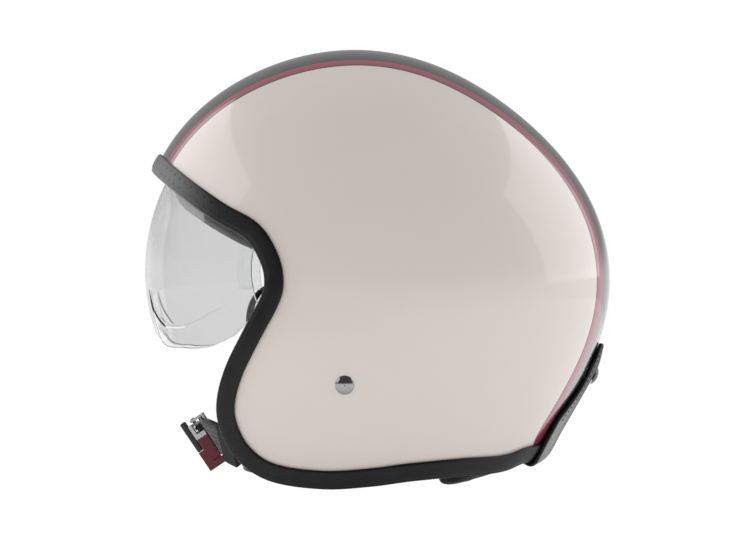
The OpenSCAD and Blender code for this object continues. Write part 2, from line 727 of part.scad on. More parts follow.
module goggle_strap_rivets() {
    color("silver") for (k = [-0.35, 0.35])
        let (p = over_edge(edge_last + k, 2.6, -7.2 - leather - 1.7), q = over_edge(edge_last + k, 2.6, 0))
        aim(p, unit(q - p)) cylinder(r = 4, h = 1.2);
}

module snap_cap() {
    color("dimgray") {
        intersection() {
            at_snap(snap_face + leather - 5.5) sphere(r = 8);
            at_snap(snap_face + leather + 0.2) cylinder(r = snap_radius, h = 6);
        }
        at_snap(snap_face - 1.1) cylinder(r = 2.3, h = leather + 1.6);
        at_snap(snap_face - 1.1) cylinder(r = 4.5, h = 0.6);
    }
}

module snap_stud() {
    color("silver") {
        at_snap(0.1) cylinder(r = 4.5, h = 0.6);
        at_snap(0.5) cylinder(r = 1.6, h = 0.8);
        at_snap(-shell_wall - 0.2) cylinder(r = stud_hole_radius - 0.03, h = shell_wall + 0.7);
    }
}

outer_shell();
edge_trim();
eps_liner();
crown_liner();
brow_pad();
cheek_pad_left();
cheek_pad_right();
neck_roll();
liner_snaps();
visor_lens();
visor_hub_left();
visor_hub_right();
pivot_plate_left();
pivot_plate_right();
pivot_washers();
pivot_screws();
visor_stops();
strap_rivet_left();
strap_rivet_right();
strap_anchor_left();
strap_anchor_right();
chin_strap_left();
chin_strap_right();
strap_pad_left();
buckle_housing();
buckle_lever();
lever_grip();
buckle_pawl();
lever_pin();
lever_spring();
ratchet_tongue();
strap_keeper();
goggle_strap();
goggle_strap_root();
goggle_strap_rivets();
snap_cap();
snap_stud();
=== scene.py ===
"""Open face motorcycle helmet: the looks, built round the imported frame."""
import contextlib
import itertools
import json
import math

import bmesh
import bpy
import numpy as np
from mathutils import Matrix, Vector


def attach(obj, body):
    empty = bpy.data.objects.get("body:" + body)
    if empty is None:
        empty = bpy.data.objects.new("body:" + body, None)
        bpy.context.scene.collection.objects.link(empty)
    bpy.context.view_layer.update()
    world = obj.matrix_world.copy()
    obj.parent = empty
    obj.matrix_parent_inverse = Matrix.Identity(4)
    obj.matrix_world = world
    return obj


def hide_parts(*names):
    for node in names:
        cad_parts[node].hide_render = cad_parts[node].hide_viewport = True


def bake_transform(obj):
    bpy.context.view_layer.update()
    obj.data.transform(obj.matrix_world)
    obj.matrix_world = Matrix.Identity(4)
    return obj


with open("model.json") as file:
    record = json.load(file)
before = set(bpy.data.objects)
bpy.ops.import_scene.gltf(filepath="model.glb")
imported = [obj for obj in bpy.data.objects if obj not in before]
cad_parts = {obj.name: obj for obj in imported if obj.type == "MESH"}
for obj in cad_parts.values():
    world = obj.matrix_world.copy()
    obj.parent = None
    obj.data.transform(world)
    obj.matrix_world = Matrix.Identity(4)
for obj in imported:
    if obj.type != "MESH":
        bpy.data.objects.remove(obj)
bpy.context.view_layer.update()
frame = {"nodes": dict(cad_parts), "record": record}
MM = 0.001

# ---- the design, in millimetres
HALF_WIDTH = 122.0
ROUNDNESS = 2.2
SHELL_WALL = 4.0
SKIN_CENTRE = np.array([0.0, -15.0, 113.0])
# Radii of the shell's side outline, every 30 degrees from the back, over the crown and round.
SIDE_RADII = np.array([156.4, 155.4, 150.5, 151, 148, 140.2, 136, 158, 178, 186, 164, 146.3])
# The shell's edge from the brow down to the nape, [y, z].
EDGE_POINTS = [
    [-131.5, 190], [-126.5, 185], [-112, 173.5], [-94, 161], [-76, 150.5], [-67.5, 138], [-64.2, 126],
    [-66, 115], [-77, 94], [-87.5, 72.5], [-92.5, 54], [-91.5, 39], [-82.5, 21], [-64.5, 7.5], [-32, 2],
    [-3, 3.4], [24, 6.8], [52, 9.4], [77.5, 12], [90, 16.5], [99.6, 23],
]
POLE = np.array([0.0, math.cos(math.radians(40)), math.sin(math.radians(40))])
HEAD_CENTRE = np.array([0.0, -5.0, 134.0])
HEAD_HALF_WIDTH = 79.0
HEAD_HALF_LENGTH = 99.0
HEAD_HEIGHT = 86.0
HEAD_DROP = 260.0
LINING = 6.5


def unit(v):
    return v / np.linalg.norm(v, axis=-1, keepdims=True)


def mix(a, b, t):
    return a + (b - a) * t


def ease(t):
    t = np.clip(t, 0, 1)
    return t * t * (3 - 2 * t)


def curve_at(points, s, closed=False):
    """A smooth curve through the points, at places s counted in points."""
    points = np.asarray(points, float)
    s = np.asarray(s, float)
    i = np.floor(s).astype(int)
    if not closed:
        i = np.clip(i, 0, len(points) - 2)
    t = (s - i)[..., None]
    ends = "wrap" if closed else "clip"
    a, b, c, d = (points.take(i + o, axis=0, mode=ends) for o in (-1, 0, 1, 2))
    return 0.5 * (2 * b + (c - a) * t + (2 * a - 5 * b + 4 * c - d) * t**2 + (3 * b - a - 3 * c + d) * t**3)


def lengths(path):
    """Length along a path at each of its points."""
    return np.concatenate([[0], np.cumsum(np.linalg.norm(np.diff(path, axis=0), axis=1))])


def sampled(values, place, at):
    """Rows of values, known at the places, read off at other places."""
    return np.stack([np.interp(at, place, column) for column in np.transpose(values)], 1)


def turn(a, b, t):
    """Direction a turned toward b by the share t."""
    full = np.arccos(np.clip((a * b).sum(-1, keepdims=True), -1, 1))
    t = np.asarray(t, float)[..., None]
    full = np.maximum(full, 1e-6)
    return (np.sin((1 - t) * full) * a + np.sin(t * full) * b) / np.sin(full)


# ---- the shell's skin
def side_radius(angle):
    """Radius of the side outline at an angle: a sum of waves that passes through SIDE_RADII."""
    step = np.radians(30 * np.arange(12))
    t = np.asarray(angle, float)[..., None] - step
    t = (t + math.pi) % (2 * math.pi) - math.pi
    t = np.where(np.abs(t) < 1e-6, 1e-6, t)
    return (np.sin(6 * t) / (12 * np.tan(t / 2))) @ SIDE_RADII


def skin_radius(d):
    """Distance from the shell's centre to its skin, in direction d."""
    side = np.hypot(d[..., 1], d[..., 2])
    angle = np.arctan2(d[..., 2], d[..., 1])
    across = (np.abs(d[..., 0]) / HALF_WIDTH) ** ROUNDNESS
    return (across + (side / side_radius(angle)) ** ROUNDNESS) ** (-1 / ROUNDNESS)


def skin_normal(p):
    """The skin's outward direction at p, counted from the shell's centre."""
    rho = np.hypot(p[..., 1], p[..., 2])
    angle = np.arctan2(p[..., 2], p[..., 1])
    s = side_radius(angle)
    slope = (side_radius(angle + 0.005) - side_radius(angle - 0.005)) / 0.01
    outward = (rho / s) ** (ROUNDNESS - 1) / s
    around = -outward * slope / s
    across = np.sign(p[..., 0]) * (np.abs(p[..., 0]) / HALF_WIDTH) ** (ROUNDNESS - 1) / HALF_WIDTH
    cos, sin = np.cos(angle), np.sin(angle)
    return unit(np.stack([across, outward * cos - around * sin, outward * sin + around * cos], -1))


def on_skin(d, h):
    """The point over the shell in direction d from its centre, h above the skin."""
    p = skin_radius(d)[..., None] * d
    return SKIN_CENTRE + p + np.asarray(h, float)[..., None] * skin_normal(p)


def skin_width(y, z):
    """Half of the shell's width at a place in the middle plane."""
    dy, dz = y - SKIN_CENTRE[1], z - SKIN_CENTRE[2]
    q = (np.hypot(dy, dz) / side_radius(np.arctan2(dz, dy))) ** ROUNDNESS
    return HALF_WIDTH * np.maximum(1 - q, 0) ** (1 / ROUNDNESS)


def edge_loop():
    left = [[float(skin_width(y, z)), y, z] for y, z in EDGE_POINTS]
    left[0][0] = left[-1][0] = 0.0
    right = [[-x, y, z] for x, y, z in left[-2:0:-1]]
    return np.array(left + right)


EDGE = edge_loop()
NAPE = len(EDGE_POINTS) - 1


def edge_direction(k):
    return unit(curve_at(EDGE, k, closed=True) - SKIN_CENTRE)


def over_edge(k, s, h):
    """The point beside edge place k, s in from the shell's edge and h above its skin."""
    k = np.asarray(k, float)
    p = on_skin(edge_direction(k), np.zeros(k.shape))
    ahead = on_skin(edge_direction(k + 0.15), np.zeros(k.shape))
    behind = on_skin(edge_direction(k - 0.15), np.zeros(k.shape))
    n = skin_normal(p - SKIN_CENTRE)
    inward = np.cross(n, unit(ahead - behind))
    shape = np.broadcast_shapes(k.shape, np.shape(s), np.shape(h))
    s = np.broadcast_to(np.asarray(s, float), shape)
    h = np.broadcast_to(np.asarray(h, float), shape)
    return on_skin(unit(p + s[..., None] * inward - SKIN_CENTRE), h)


def in_head(d, g):
    """The point on the head space's surface in direction d from its middle, let out by g."""
    flare = np.where(d[..., 1] < 0, ease(-2.5 * d[..., 2]), 0)
    up = np.where(d[..., 2] > 0, HEAD_HEIGHT + g, HEAD_DROP)
    along = (HEAD_HALF_LENGTH + g) * (1 + 0.6 * flare)
    half = np.stack(np.broadcast_arrays(HEAD_HALF_WIDTH + g, along, up), -1)
    return HEAD_CENTRE + d / np.linalg.norm(d / half, axis=-1, keepdims=True)


# ---- meshes
def grid_faces(rows, columns, wrap_rows=False, wrap_columns=False, start=0, flip=False):
    r, c = (i.ravel() for i in np.indices((rows - (not wrap_rows), columns - (not wrap_columns))))
    r2, c2 = (r + 1) % rows, (c + 1) % columns
    quads = np.stack([r * columns + c, r * columns + c2, r2 * columns + c2, r2 * columns + c], 1) + start
    return (quads[:, ::-1] if flip else quads).tolist()


def new_object(name, data):
    made = bpy.data.objects.new(name, data)
    bpy.context.scene.collection.objects.link(made)
    return made


def set_smooth(mesh, smooth=True):
    mesh.polygons.foreach_set("use_smooth", [smooth] * len(mesh.polygons))


def new_piece(name, points, faces, material, body="helmet", replaces=(), slot=None, smooth=True):
    """A mesh piece from points in millimetres, riding on a body."""
    mesh = bpy.data.meshes.new(name)
    mesh.from_pydata((np.asarray(points).reshape(-1, 3) * MM).tolist(), [], faces)
    mesh.validate()
    mesh.materials.append(material)
    set_smooth(mesh, smooth)
    mesh.update()
    piece = new_object(name, mesh)
    if body:
        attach(piece, body)
    if replaces:
        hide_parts(*replaces)
    return piece


@contextlib.contextmanager
def edited(mesh):
    """The mesh as a bmesh, written back at the end."""
    work = bmesh.new()
    work.from_mesh(mesh)
    yield work
    work.to_mesh(mesh)
    work.free()


def face_outward(piece):
    with edited(piece.data) as work:
        bmesh.ops.recalc_face_normals(work, faces=work.faces)


def sharpen(piece, degrees):
    """Edges that bend more than this are shaded sharp."""
    with edited(piece.data) as work:
        for edge in work.edges:
            edge.smooth = not (edge.is_manifold and edge.calc_face_angle(0) > math.radians(degrees))


def add_bevel(piece, width, segments, degrees):
    bevel = piece.modifiers.new("Bevel", "BEVEL")
    bevel.width = width * MM
    bevel.segments = segments
    bevel.limit_method = "ANGLE"
    bevel.angle_limit = math.radians(degrees)
    return bevel


def slab(outer, inner):
    """Points and faces of a closed solid between two open grids of one shape."""
    rows, columns = outer.shape[:2]
    points = np.concatenate([outer.reshape(-1, 3), inner.reshape(-1, 3)])
    half = rows * columns
    faces = grid_faces(rows, columns) + grid_faces(rows, columns, start=half, flip=True)
    ring = (
        list(range(columns))
        + [r * columns + columns - 1 for r in range(1, rows)]
        + [(rows - 1) * columns + c for c in range(columns - 2, -1, -1)]
        + [r * columns for r in range(rows - 2, 0, -1)]
    )
    for a, b in zip(ring, ring[1:] + ring[:1]):
        faces.append([b, a, a + half, b + half])
    return points, faces


def dome(outer, inner, outer_pole, inner_pole):
    """Points and faces of a closed solid between two grids of rings that each close on a pole."""
    rows, columns = outer.shape[:2]
    size = rows * columns
    points = np.concatenate([outer.reshape(-1, 3), inner.reshape(-1, 3), [outer_pole], [inner_pole]])
    faces = grid_faces(rows, columns, wrap_columns=True, flip=True)
    faces += grid_faces(rows, columns, wrap_columns=True, start=size)
    last = (rows - 1) * columns
    for c in range(columns):
        n = (c + 1) % columns
        faces.append([2 * size, c, n])
        faces.append([2 * size + 1, size + n, size + c])
        faces.append([last + n, last + c, size + last + c, size + last + n])
    return points, faces


def tube(rings, closed=False):
    """Points and faces of a tube through rings of points, with flat ends unless it is closed."""
    count, sides = rings.shape[:2]
    faces = grid_faces(count, sides, wrap_rows=closed, wrap_columns=True)
    if not closed:
        faces += [list(range(sides))[::-1], [(count - 1) * sides + c for c in range(sides)]]
    return rings.reshape(-1, 3), faces


def cord_rings(path, radius, sides=8):
    """Rings of a round cord along a path of points."""
    path = np.asarray(path, float)
    along = unit(np.gradient(path, axis=0))
    side = np.zeros_like(path)
    helper = np.array([0.3, 0.2, 1.0])
    for i, t in enumerate(along):
        helper = helper - (helper @ t) * t
        helper = helper / np.linalg.norm(helper)
        side[i] = helper
    other = np.cross(along, side)
    angle = 2 * math.pi * np.arange(sides) / sides
    radius = np.broadcast_to(np.asarray(radius, float), (len(path),))
    ring = np.cos(angle)[None, :, None] * side[:, None] + np.sin(angle)[None, :, None] * other[:, None]
    return path[:, None] + radius[:, None, None] * ring


def stitches(name, path, normals, material, body="helmet", pitch=3.4, length=2.5, radius=0.32, lift=0.15):
    """Short threads that dip into a surface along a path; path and normals are close samples."""
    place = lengths(path)
    samples = 7
    sides = 6
    arch = np.sin(np.linspace(0, math.pi, samples))
    points, faces = [], []
    for start in np.arange(pitch / 2, place[-1] - length, pitch):
        at = np.linspace(start, start + length, samples)
        up = unit(sampled(normals, place, at))
        centre = sampled(path, place, at) + (lift * arch - 0.25 * (1 - arch))[:, None] * up
        p, f = tube(cord_rings(centre, radius * (0.55 + 0.45 * arch), sides))
        faces += [[i + len(points) * samples * sides for i in face] for face in f]
        points.append(p)
    return new_piece(name, np.concatenate(points), faces, material, body)


# ---- materials
def scaled(colour, share):
    return tuple(share * c for c in colour)


class Nodes:
    """Short calls for the nodes of a material or of the world."""

    def __init__(self, tree):
        self.nodes = tree.nodes
        self.links = tree.links

    def feed(self, socket, value):
        """Sets a socket to a number or a tuple, or links an output to it; a colour's alpha is 1."""
        if isinstance(value, (int, float)):
            socket.default_value = value
        elif isinstance(value, tuple):
            socket.default_value = (*value, 1)[: len(socket.default_value)]
        else:
            self.links.new(value, socket)

    def node(self, kind, inputs, output=0, **settings):
        """One output of a new node, whose inputs are given by name or by number."""
        made = self.nodes.new(kind)
        for key, value in settings.items():
            setattr(made, key, value)
        for socket, value in inputs.items():
            self.feed(made.inputs[socket], value)
        return made.outputs[output]

    def ray(self, kind):
        return self.node("ShaderNodeLightPath", {}, "Is " + kind + " Ray")

    def math(self, operation, a, b=0.0):
        return self.node("ShaderNodeMath", {0: a, 1: b}, operation=operation)

    def add(self, a, b):
        return self.math("ADD", a, b)

    def minus(self, a, b):
        return self.math("SUBTRACT", a, b)

    def times(self, a, b):
        return self.math("MULTIPLY", a, b)

    def parts(self, vector):
        return self.node("ShaderNodeSeparateXYZ", {0: vector}, slice(3))

    def noise(self, vector, size, detail=3.0):
        inputs = {"Vector": vector, "Scale": 1 / size, "Detail": detail, "Roughness": 0.55}
        return self.node("ShaderNodeTexNoise", inputs, "Fac")

    def cells(self, vector, size, feature="F1", randomness=1.0):
        inputs = {"Vector": vector, "Scale": 1 / size, "Randomness": randomness}
        return self.node("ShaderNodeTexVoronoi", inputs, "Distance", feature=feature)

    def remap(self, value, low, high, to_low=0.0, to_high=1.0, smooth=False):
        inputs = dict(enumerate((value, low, high, to_low, to_high)))
        kind = "SMOOTHSTEP" if smooth else "LINEAR"
        return self.node("ShaderNodeMapRange", inputs, interpolation_type=kind)

    def blend(self, share, a, b):
        return self.node("ShaderNodeMix", {0: share, 6: a, 7: b}, 2, data_type="RGBA")


class Shade(Nodes):
    """A Principled material."""

    def __init__(self, name, colour, roughness, **sockets):
        self.material = bpy.data.materials.new(name)
        self.material.use_nodes = True
        super().__init__(self.material.node_tree)
        self.shader = self.nodes["Principled BSDF"]
        self.colour(colour)
        self.rough(roughness)
        for socket, value in sockets.items():
            self.feed(self.shader.inputs[socket.replace("_", " ").title().replace("Ior", "IOR")], value)

    def place(self):
        """Position on the piece, in millimetres."""
        where = self.node("ShaderNodeTexCoord", {}, "Object")
        return self.node("ShaderNodeVectorMath", {0: where, "Scale": 1000}, operation="SCALE")

    def bump(self, height, depth):
        """Bump with its depth in millimetres."""
        inputs = {"Strength": 1.0, "Distance": depth * MM, "Height": height}
        self.feed(self.shader.inputs["Normal"], self.node("ShaderNodeBump", inputs))

    def colour(self, value):
        self.feed(self.shader.inputs["Base Color"], value)

    def rough(self, value):
        self.feed(self.shader.inputs["Roughness"], value)


CREAM = (0.672, 0.598, 0.558)
STRIPE_BLACK = (0.016, 0.016, 0.017)
BURGUNDY = (0.27, 0.028, 0.060)
LINE_BLACK = (0.022, 0.016, 0.016)
# Half of the stripe's width, what it gains over the brow and at the crown, and its line and band.
STRIPE_HALF = 46.6
BROW_GAIN = 1.9
CROWN_GAIN = 3.6
LINE_WIDTH = 1.5
BAND_REACH = 11.2
BAND_THINNING = 2.8
# Height that the stripe ends at over the nape, and the radius of its corners there.
STRIPE_END = 21.0
STRIPE_CORNER = 14.0
LINE_SOFTNESS = 0.12


def lacquer():
    """Cream lacquer with a black centre stripe, a burgundy band and a thin black line each side."""
    s = Shade("lacquer", CREAM, 0.32, coat_weight=1.0, coat_roughness=0.08, coat_ior=1.5)
    place = s.place()
    x, y, z = s.parts(place)
    top = s.remap(z, 190, 262, smooth=True)
    front = s.remap(y, -60, 40, 1.0, 0.0, smooth=True)
    ends = s.add(STRIPE_HALF, s.times(front, BROW_GAIN))
    outer = s.add(ends, s.times(top, CROWN_GAIN))
    beside = s.math("MAXIMUM", s.add(s.minus(s.math("ABSOLUTE", x), outer), STRIPE_CORNER), 0.0)
    below = s.math("MAXIMUM", s.minus(STRIPE_END + STRIPE_CORNER, z), 0.0)
    rounded = s.math("SQRT", s.add(s.math("POWER", beside, 2.0), s.math("POWER", below, 2.0)))
    inset = s.minus(STRIPE_CORNER, rounded)
    band_end = s.minus(BAND_REACH, s.times(top, BAND_THINNING))

    def inside(distance):
        return s.remap(s.minus(inset, distance), -LINE_SOFTNESS, LINE_SOFTNESS)

    flakes = s.remap(s.noise(place, 38.0, 2.0), 0.3, 0.7)
    cream = s.blend(flakes, CREAM, scaled(CREAM, 1.012))
    fleck = s.remap(s.noise(place, 0.35, 1.0), 0.35, 0.65)
    burgundy = s.blend(fleck, BURGUNDY, scaled(BURGUNDY, 1.12))
    colour = s.blend(inside(0.0), cream, LINE_BLACK)
    colour = s.blend(inside(LINE_WIDTH), colour, burgundy)
    s.colour(s.blend(inside(band_end), colour, STRIPE_BLACK))
    s.bump(s.noise(place, 9.0, 2.0), 0.012)
    return s.material


def leather(name, colour, roughness, grain=0.75, depth=0.07, sheen=0.25, flank_sheen=None, brow=None):
    """Grained leather: pebbles, creases and slow wear, with a painted sheen on its sides or a painted
    highlight toward the brow if asked.
    """
    s = Shade(name, colour, roughness, sheen_weight=sheen, sheen_roughness=0.45, specular_ior_level=0.3)
    place = s.place()
    pebbles = s.remap(s.cells(place, grain), 0.05, 0.62)
    creases = s.remap(s.cells(place, grain * 3.4, "DISTANCE_TO_EDGE"), 0.0, 0.10, 1.0, 0.0)
    creased = s.remap(s.noise(place, 3.0, 2.0), 0.5, 0.7, 0.0, 0.5)
    height = s.add(s.times(pebbles, -0.7), s.times(s.noise(place, 0.35, 2.0), 0.25))
    s.bump(s.minus(height, s.times(creases, creased)), depth)
    worn = s.remap(s.noise(place, 22.0), 0.35, 0.7)
    tone = s.blend(worn, colour, tuple(1.5 * c + 0.004 for c in colour))
    # Painted sheen: paler on the sides, most of all on the pebble tops.
    if flank_sheen:
        side = s.remap(s.math("ABSOLUTE", s.parts(place)[0]), 6.0, 26.0, smooth=True)
        tone = s.blend(s.times(side, s.remap(pebbles, 0.9, 0.1, 0.35, 1.0)), tone, (flank_sheen,) * 3)
    # Painted highlight: paler toward the brow, standing in for a lamp's reflection there.
    if brow:
        front = s.remap(s.parts(place)[1], -134.0, -92.0, 1.0, 0.0, smooth=True)
        tone = s.blend(front, tone, (brow,) * 3)
    s.colour(tone)
    s.rough(s.add(roughness - 0.05, s.times(worn, 0.12)))
    return s.material


def webbing(name, colour):
    """Woven nylon tape: ribs across the tape and a herringbone along it."""
    s = Shade(name, colour, 0.72, sheen_weight=0.5, sheen_roughness=0.4)
    across, along, _ = s.parts(s.node("ShaderNodeUVMap", {}, uv_map="across_along"))
    zig = s.math("PINGPONG", across, 1.9)
    rib = s.math("SINE", s.times(s.add(along, zig), 2 * math.pi / 1.5))
    yarn = s.math("SINE", s.times(across, 2 * math.pi / 0.95))
    height = s.add(rib, s.times(yarn, 0.45))
    s.bump(height, 0.10)
    # Painted shade: the tape is darker down in its weave and lighter on its ribs, with some random tone.
    weave_shade_and_tone = s.remap(s.add(height, s.noise(s.place(), 0.5, 2.0)), -1.2, 1.9)
    s.colour(s.blend(weave_shade_and_tone, scaled(colour, 0.45), scaled(colour, 1.6)))
    return s.material


def knit(s, place, size, depth):
    """Bumps of small knitted loops; gives how far each spot is from its loop's middle."""
    loops = s.cells(place, size, randomness=0.35)
    s.bump(s.minus(s.times(s.noise(place, 0.35), 0.4), loops), depth)
    return loops


def cloth(name, colour, size=0.9):
    """Brushed knitted cloth: small loops, soft sheen and slow mottling."""
    s = Shade(name, colour, 0.9, sheen_weight=0.7, sheen_roughness=0.5)
    place = s.place()
    loops = knit(s, place, size, 0.10)
    mottle = s.remap(s.noise(place, 14.0), 0.3, 0.7)
    tone = s.blend(mottle, scaled(colour, 0.85), scaled(colour, 1.25))
    # Painted shade: darker between the knitted loops, where the cloth sinks.
    s.colour(s.blend(s.remap(loops, 0.15, 0.6), tone, scaled(colour, 0.5)))
    return s.material


def brow_cloth():
    """Dark knitted cloth at the temples, and a painted reflection in pale grey across the middle of the
    brow.
    """
    s = Shade("brow_cloth", (0.07, 0.07, 0.075), 0.9, sheen_weight=0.4, sheen_roughness=0.5)
    place = s.place()
    knit(s, place, 0.9, 0.08)
    front = s.remap(s.parts(place)[1], -102.4, -101.6, 1.0, 0.0)
    mottle = s.remap(s.noise(place, 9.0), 0.3, 0.7)
    tone = s.blend(mottle, (0.055, 0.055, 0.060), (0.085, 0.085, 0.090))
    # Painted reflection: the front of the pad is pale grey, for a lamp's reflection in the visor before it.
    s.colour(s.blend(front, tone, (0.62, 0.62, 0.62)))
    return s.material


def mesh_cloth(name, colour):
    """Spacer mesh: rows of small round holes in a knitted face."""
    s = Shade(name, colour, 0.85, sheen_weight=0.6, sheen_roughness=0.5)
    place = s.place()
    pit = s.remap(s.cells(place, 2.2, randomness=0.0), 0.24, 0.36, smooth=True)
    s.bump(s.add(pit, s.times(s.noise(place, 0.4), 0.25)), 0.22)
    # Painted shade: darker down in the holes.
    s.colour(s.blend(pit, scaled(colour, 0.18), colour))
    return s.material


def foam():
    """Black expanded beads pressed into a smooth skin."""
    s = Shade("bead_foam", (0.022, 0.022, 0.024), 0.62)
    place = s.place()
    seams = s.remap(s.cells(place, 3.2, "DISTANCE_TO_EDGE"), 0.0, 0.16, smooth=True)
    s.bump(s.add(seams, s.times(s.noise(place, 0.8, 2.0), 0.2)), 0.18)
    # Painted shade: darker in the grooves between the beads.
    s.colour(s.blend(seams, (0.010, 0.010, 0.011), (0.030, 0.030, 0.033)))
    return s.material


def plastic(name, colour, roughness, grain=0.35, depth=0.02, coat=0.0):
    """Moulded plastic with a fine spark-eroded texture."""
    s = Shade(name, colour, roughness, coat_weight=coat, coat_roughness=0.08)
    place = s.place()
    s.bump(s.noise(place, grain), depth)
    flow = s.remap(s.noise(place, 12.0), 0.3, 0.7)
    s.colour(s.blend(flow, scaled(colour, 0.9), scaled(colour, 1.15)))
    s.rough(s.add(roughness - 0.04, s.times(flow, 0.1)))
    return s.material


def metal(name, colour, roughness, depth=0.012):
    """Plated metal with fine brushing along Y and a few dull handling marks."""
    s = Shade(name, colour, roughness, metallic=1.0)
    place = s.place()
    brushed = s.node("ShaderNodeVectorMath", {0: place, 1: (0.2, 3.0, 0.2)}, operation="DIVIDE")
    s.bump(s.noise(brushed, 1.0, 4.0), depth)
    marks = s.remap(s.noise(place, 4.0, 4.0), 0.45, 0.75)
    s.rough(s.add(roughness, s.times(marks, 0.14)))
    return s.material


def clear_plastic(name, tint, ior):
    """Clear polycarbonate that lets lamps through."""
    s = Shade(name, tint, 0.02, transmission_weight=1.0, ior=ior, specular_ior_level=0.12)
    haze = s.remap(s.noise(s.place(), 30.0), 0.4, 0.8)
    s.rough(s.add(0.02, s.times(haze, 0.02)))
    through = s.node("ShaderNodeBsdfTransparent", {"Color": tuple(math.sqrt(c) for c in tint)})
    either = s.node("ShaderNodeMixShader", {0: s.ray("Shadow"), 1: s.shader.outputs[0], 2: through})
    s.feed(s.nodes["Material Output"].inputs["Surface"], either)
    return s.material


def thread(name, colour):
    """Twisted sewing thread."""
    s = Shade(name, colour, 0.6, sheen_weight=0.4)
    place = s.place()
    s.bump(s.noise(place, 0.25, 2.0), 0.04)
    s.colour(s.blend(s.noise(place, 0.6, 2.0), scaled(colour, 0.7), scaled(colour, 1.3)))
    return s.material


LACQUER = lacquer()
# The trim's paler brow is a painted highlight.
TRIM_LEATHER = leather("trim_leather", (0.003, 0.003, 0.003), 0.42, sheen=0.0, brow=0.15)
# The strap's paler sides are a painted sheen.
STRAP_LEATHER = leather(
    "strap_leather", (0.010, 0.010, 0.010), 0.55, grain=0.8, depth=0.16, sheen=0.1, flank_sheen=0.42
)
NECK_LEATHER = leather("neck_leather", (0.006, 0.006, 0.006), 0.42, grain=1.1, depth=0.09, sheen=0.05)
WEB = webbing("strap_webbing", (0.020, 0.020, 0.022))
LINER_CLOTH = cloth("liner_cloth", (0.055, 0.055, 0.060))
PAD_CLOTH = cloth("pad_cloth", (0.085, 0.085, 0.090), size=0.8)
BROW_CLOTH = brow_cloth()
MESH_CLOTH = mesh_cloth("mesh_cloth", (0.060, 0.060, 0.065))
FOAM = foam()
CLEAR = clear_plastic("clear_polycarbonate", (0.815, 0.815, 0.817), ior=1.40)
HUB_CLEAR = clear_plastic("hub_polycarbonate", (0.95, 0.953, 0.956), ior=1.12)
BLACK_NYLON = plastic("black_nylon", (0.018, 0.018, 0.019), 0.45)
WHITE_ACETAL = plastic("white_acetal", (0.72, 0.72, 0.70), 0.38)
RED_NYLON = plastic("red_nylon", (0.150, 0.016, 0.028), 0.42)
SLATE = plastic("slate_nylon", (0.030, 0.034, 0.036), 0.5)
RUBBER = plastic("black_rubber", (0.015, 0.015, 0.015), 0.7, grain=0.6, depth=0.04)
STEEL = metal("nickel_plate", (0.60, 0.60, 0.61), 0.28)
CHROME = metal("dark_chrome", (0.36, 0.36, 0.37), 0.07, depth=0.002)
BLACK_ENAMEL = plastic("black_enamel", (0.014, 0.014, 0.015), 0.28, coat=0.6)
BLACK_THREAD = thread("black_thread", (0.025, 0.025, 0.027))


# ---- pieces made from CAD nodes
NODES = frame["nodes"]
BODY_OF = {n: body for body, nodes in frame["record"]["behaviour"]["bodies"].items() for n in nodes}


def frame_mesh(node, whole_faces):
    """A CAD node's mesh in the row frame, welded, with its flat faces made whole if asked."""
    work = bmesh.new()
    work.from_mesh(NODES[node].data)
    work.transform(NODES[node].matrix_world)
    bmesh.ops.remove_doubles(work, verts=work.verts, dist=2e-6)
    if whole_faces:
        bmesh.ops.dissolve_limit(work, angle_limit=math.radians(1), verts=work.verts, edges=work.edges)
    bmesh.ops.recalc_face_normals(work, faces=work.faces)
    mesh = bpy.data.meshes.new(node + "_mesh")
    work.to_mesh(mesh)
    work.free()
    return mesh


def stand_for(piece, node):
    """Puts the piece in a CAD node's place."""
    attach(piece, BODY_OF[node])
    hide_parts(node)


def finish_node(node, material, bevel=0.3, segments=2, sharp=32, whole_faces=True):
    """A CAD node's own shape with its edges rounded, in the node's place."""
    piece = new_object(node + "_piece", frame_mesh(node, whole_faces))
    piece.data.materials.append(material)
    set_smooth(piece.data)
    sharpen(piece, sharp)
    stand_for(piece, node)
    if bevel:
        add_bevel(piece, bevel, segments, sharp).harden_normals = True
    return piece


def points_of(mesh, what="co"):
    """The points of a mesh, or their normals."""
    flat = np.empty(3 * len(mesh.vertices))
    mesh.vertices.foreach_get(what, flat)
    return flat.reshape(-1, 3)


def put_points(mesh, points):
    mesh.vertices.foreach_set("co", points.ravel())
    mesh.update()


def made_real(piece):
    """Applies the piece's modifiers to its mesh."""
    mesh = bpy.data.meshes.new_from_object(piece.evaluated_get(bpy.context.evaluated_depsgraph_get()))
    piece.modifiers.clear()
    piece.data = mesh


CLOTH_FRAMES = 20


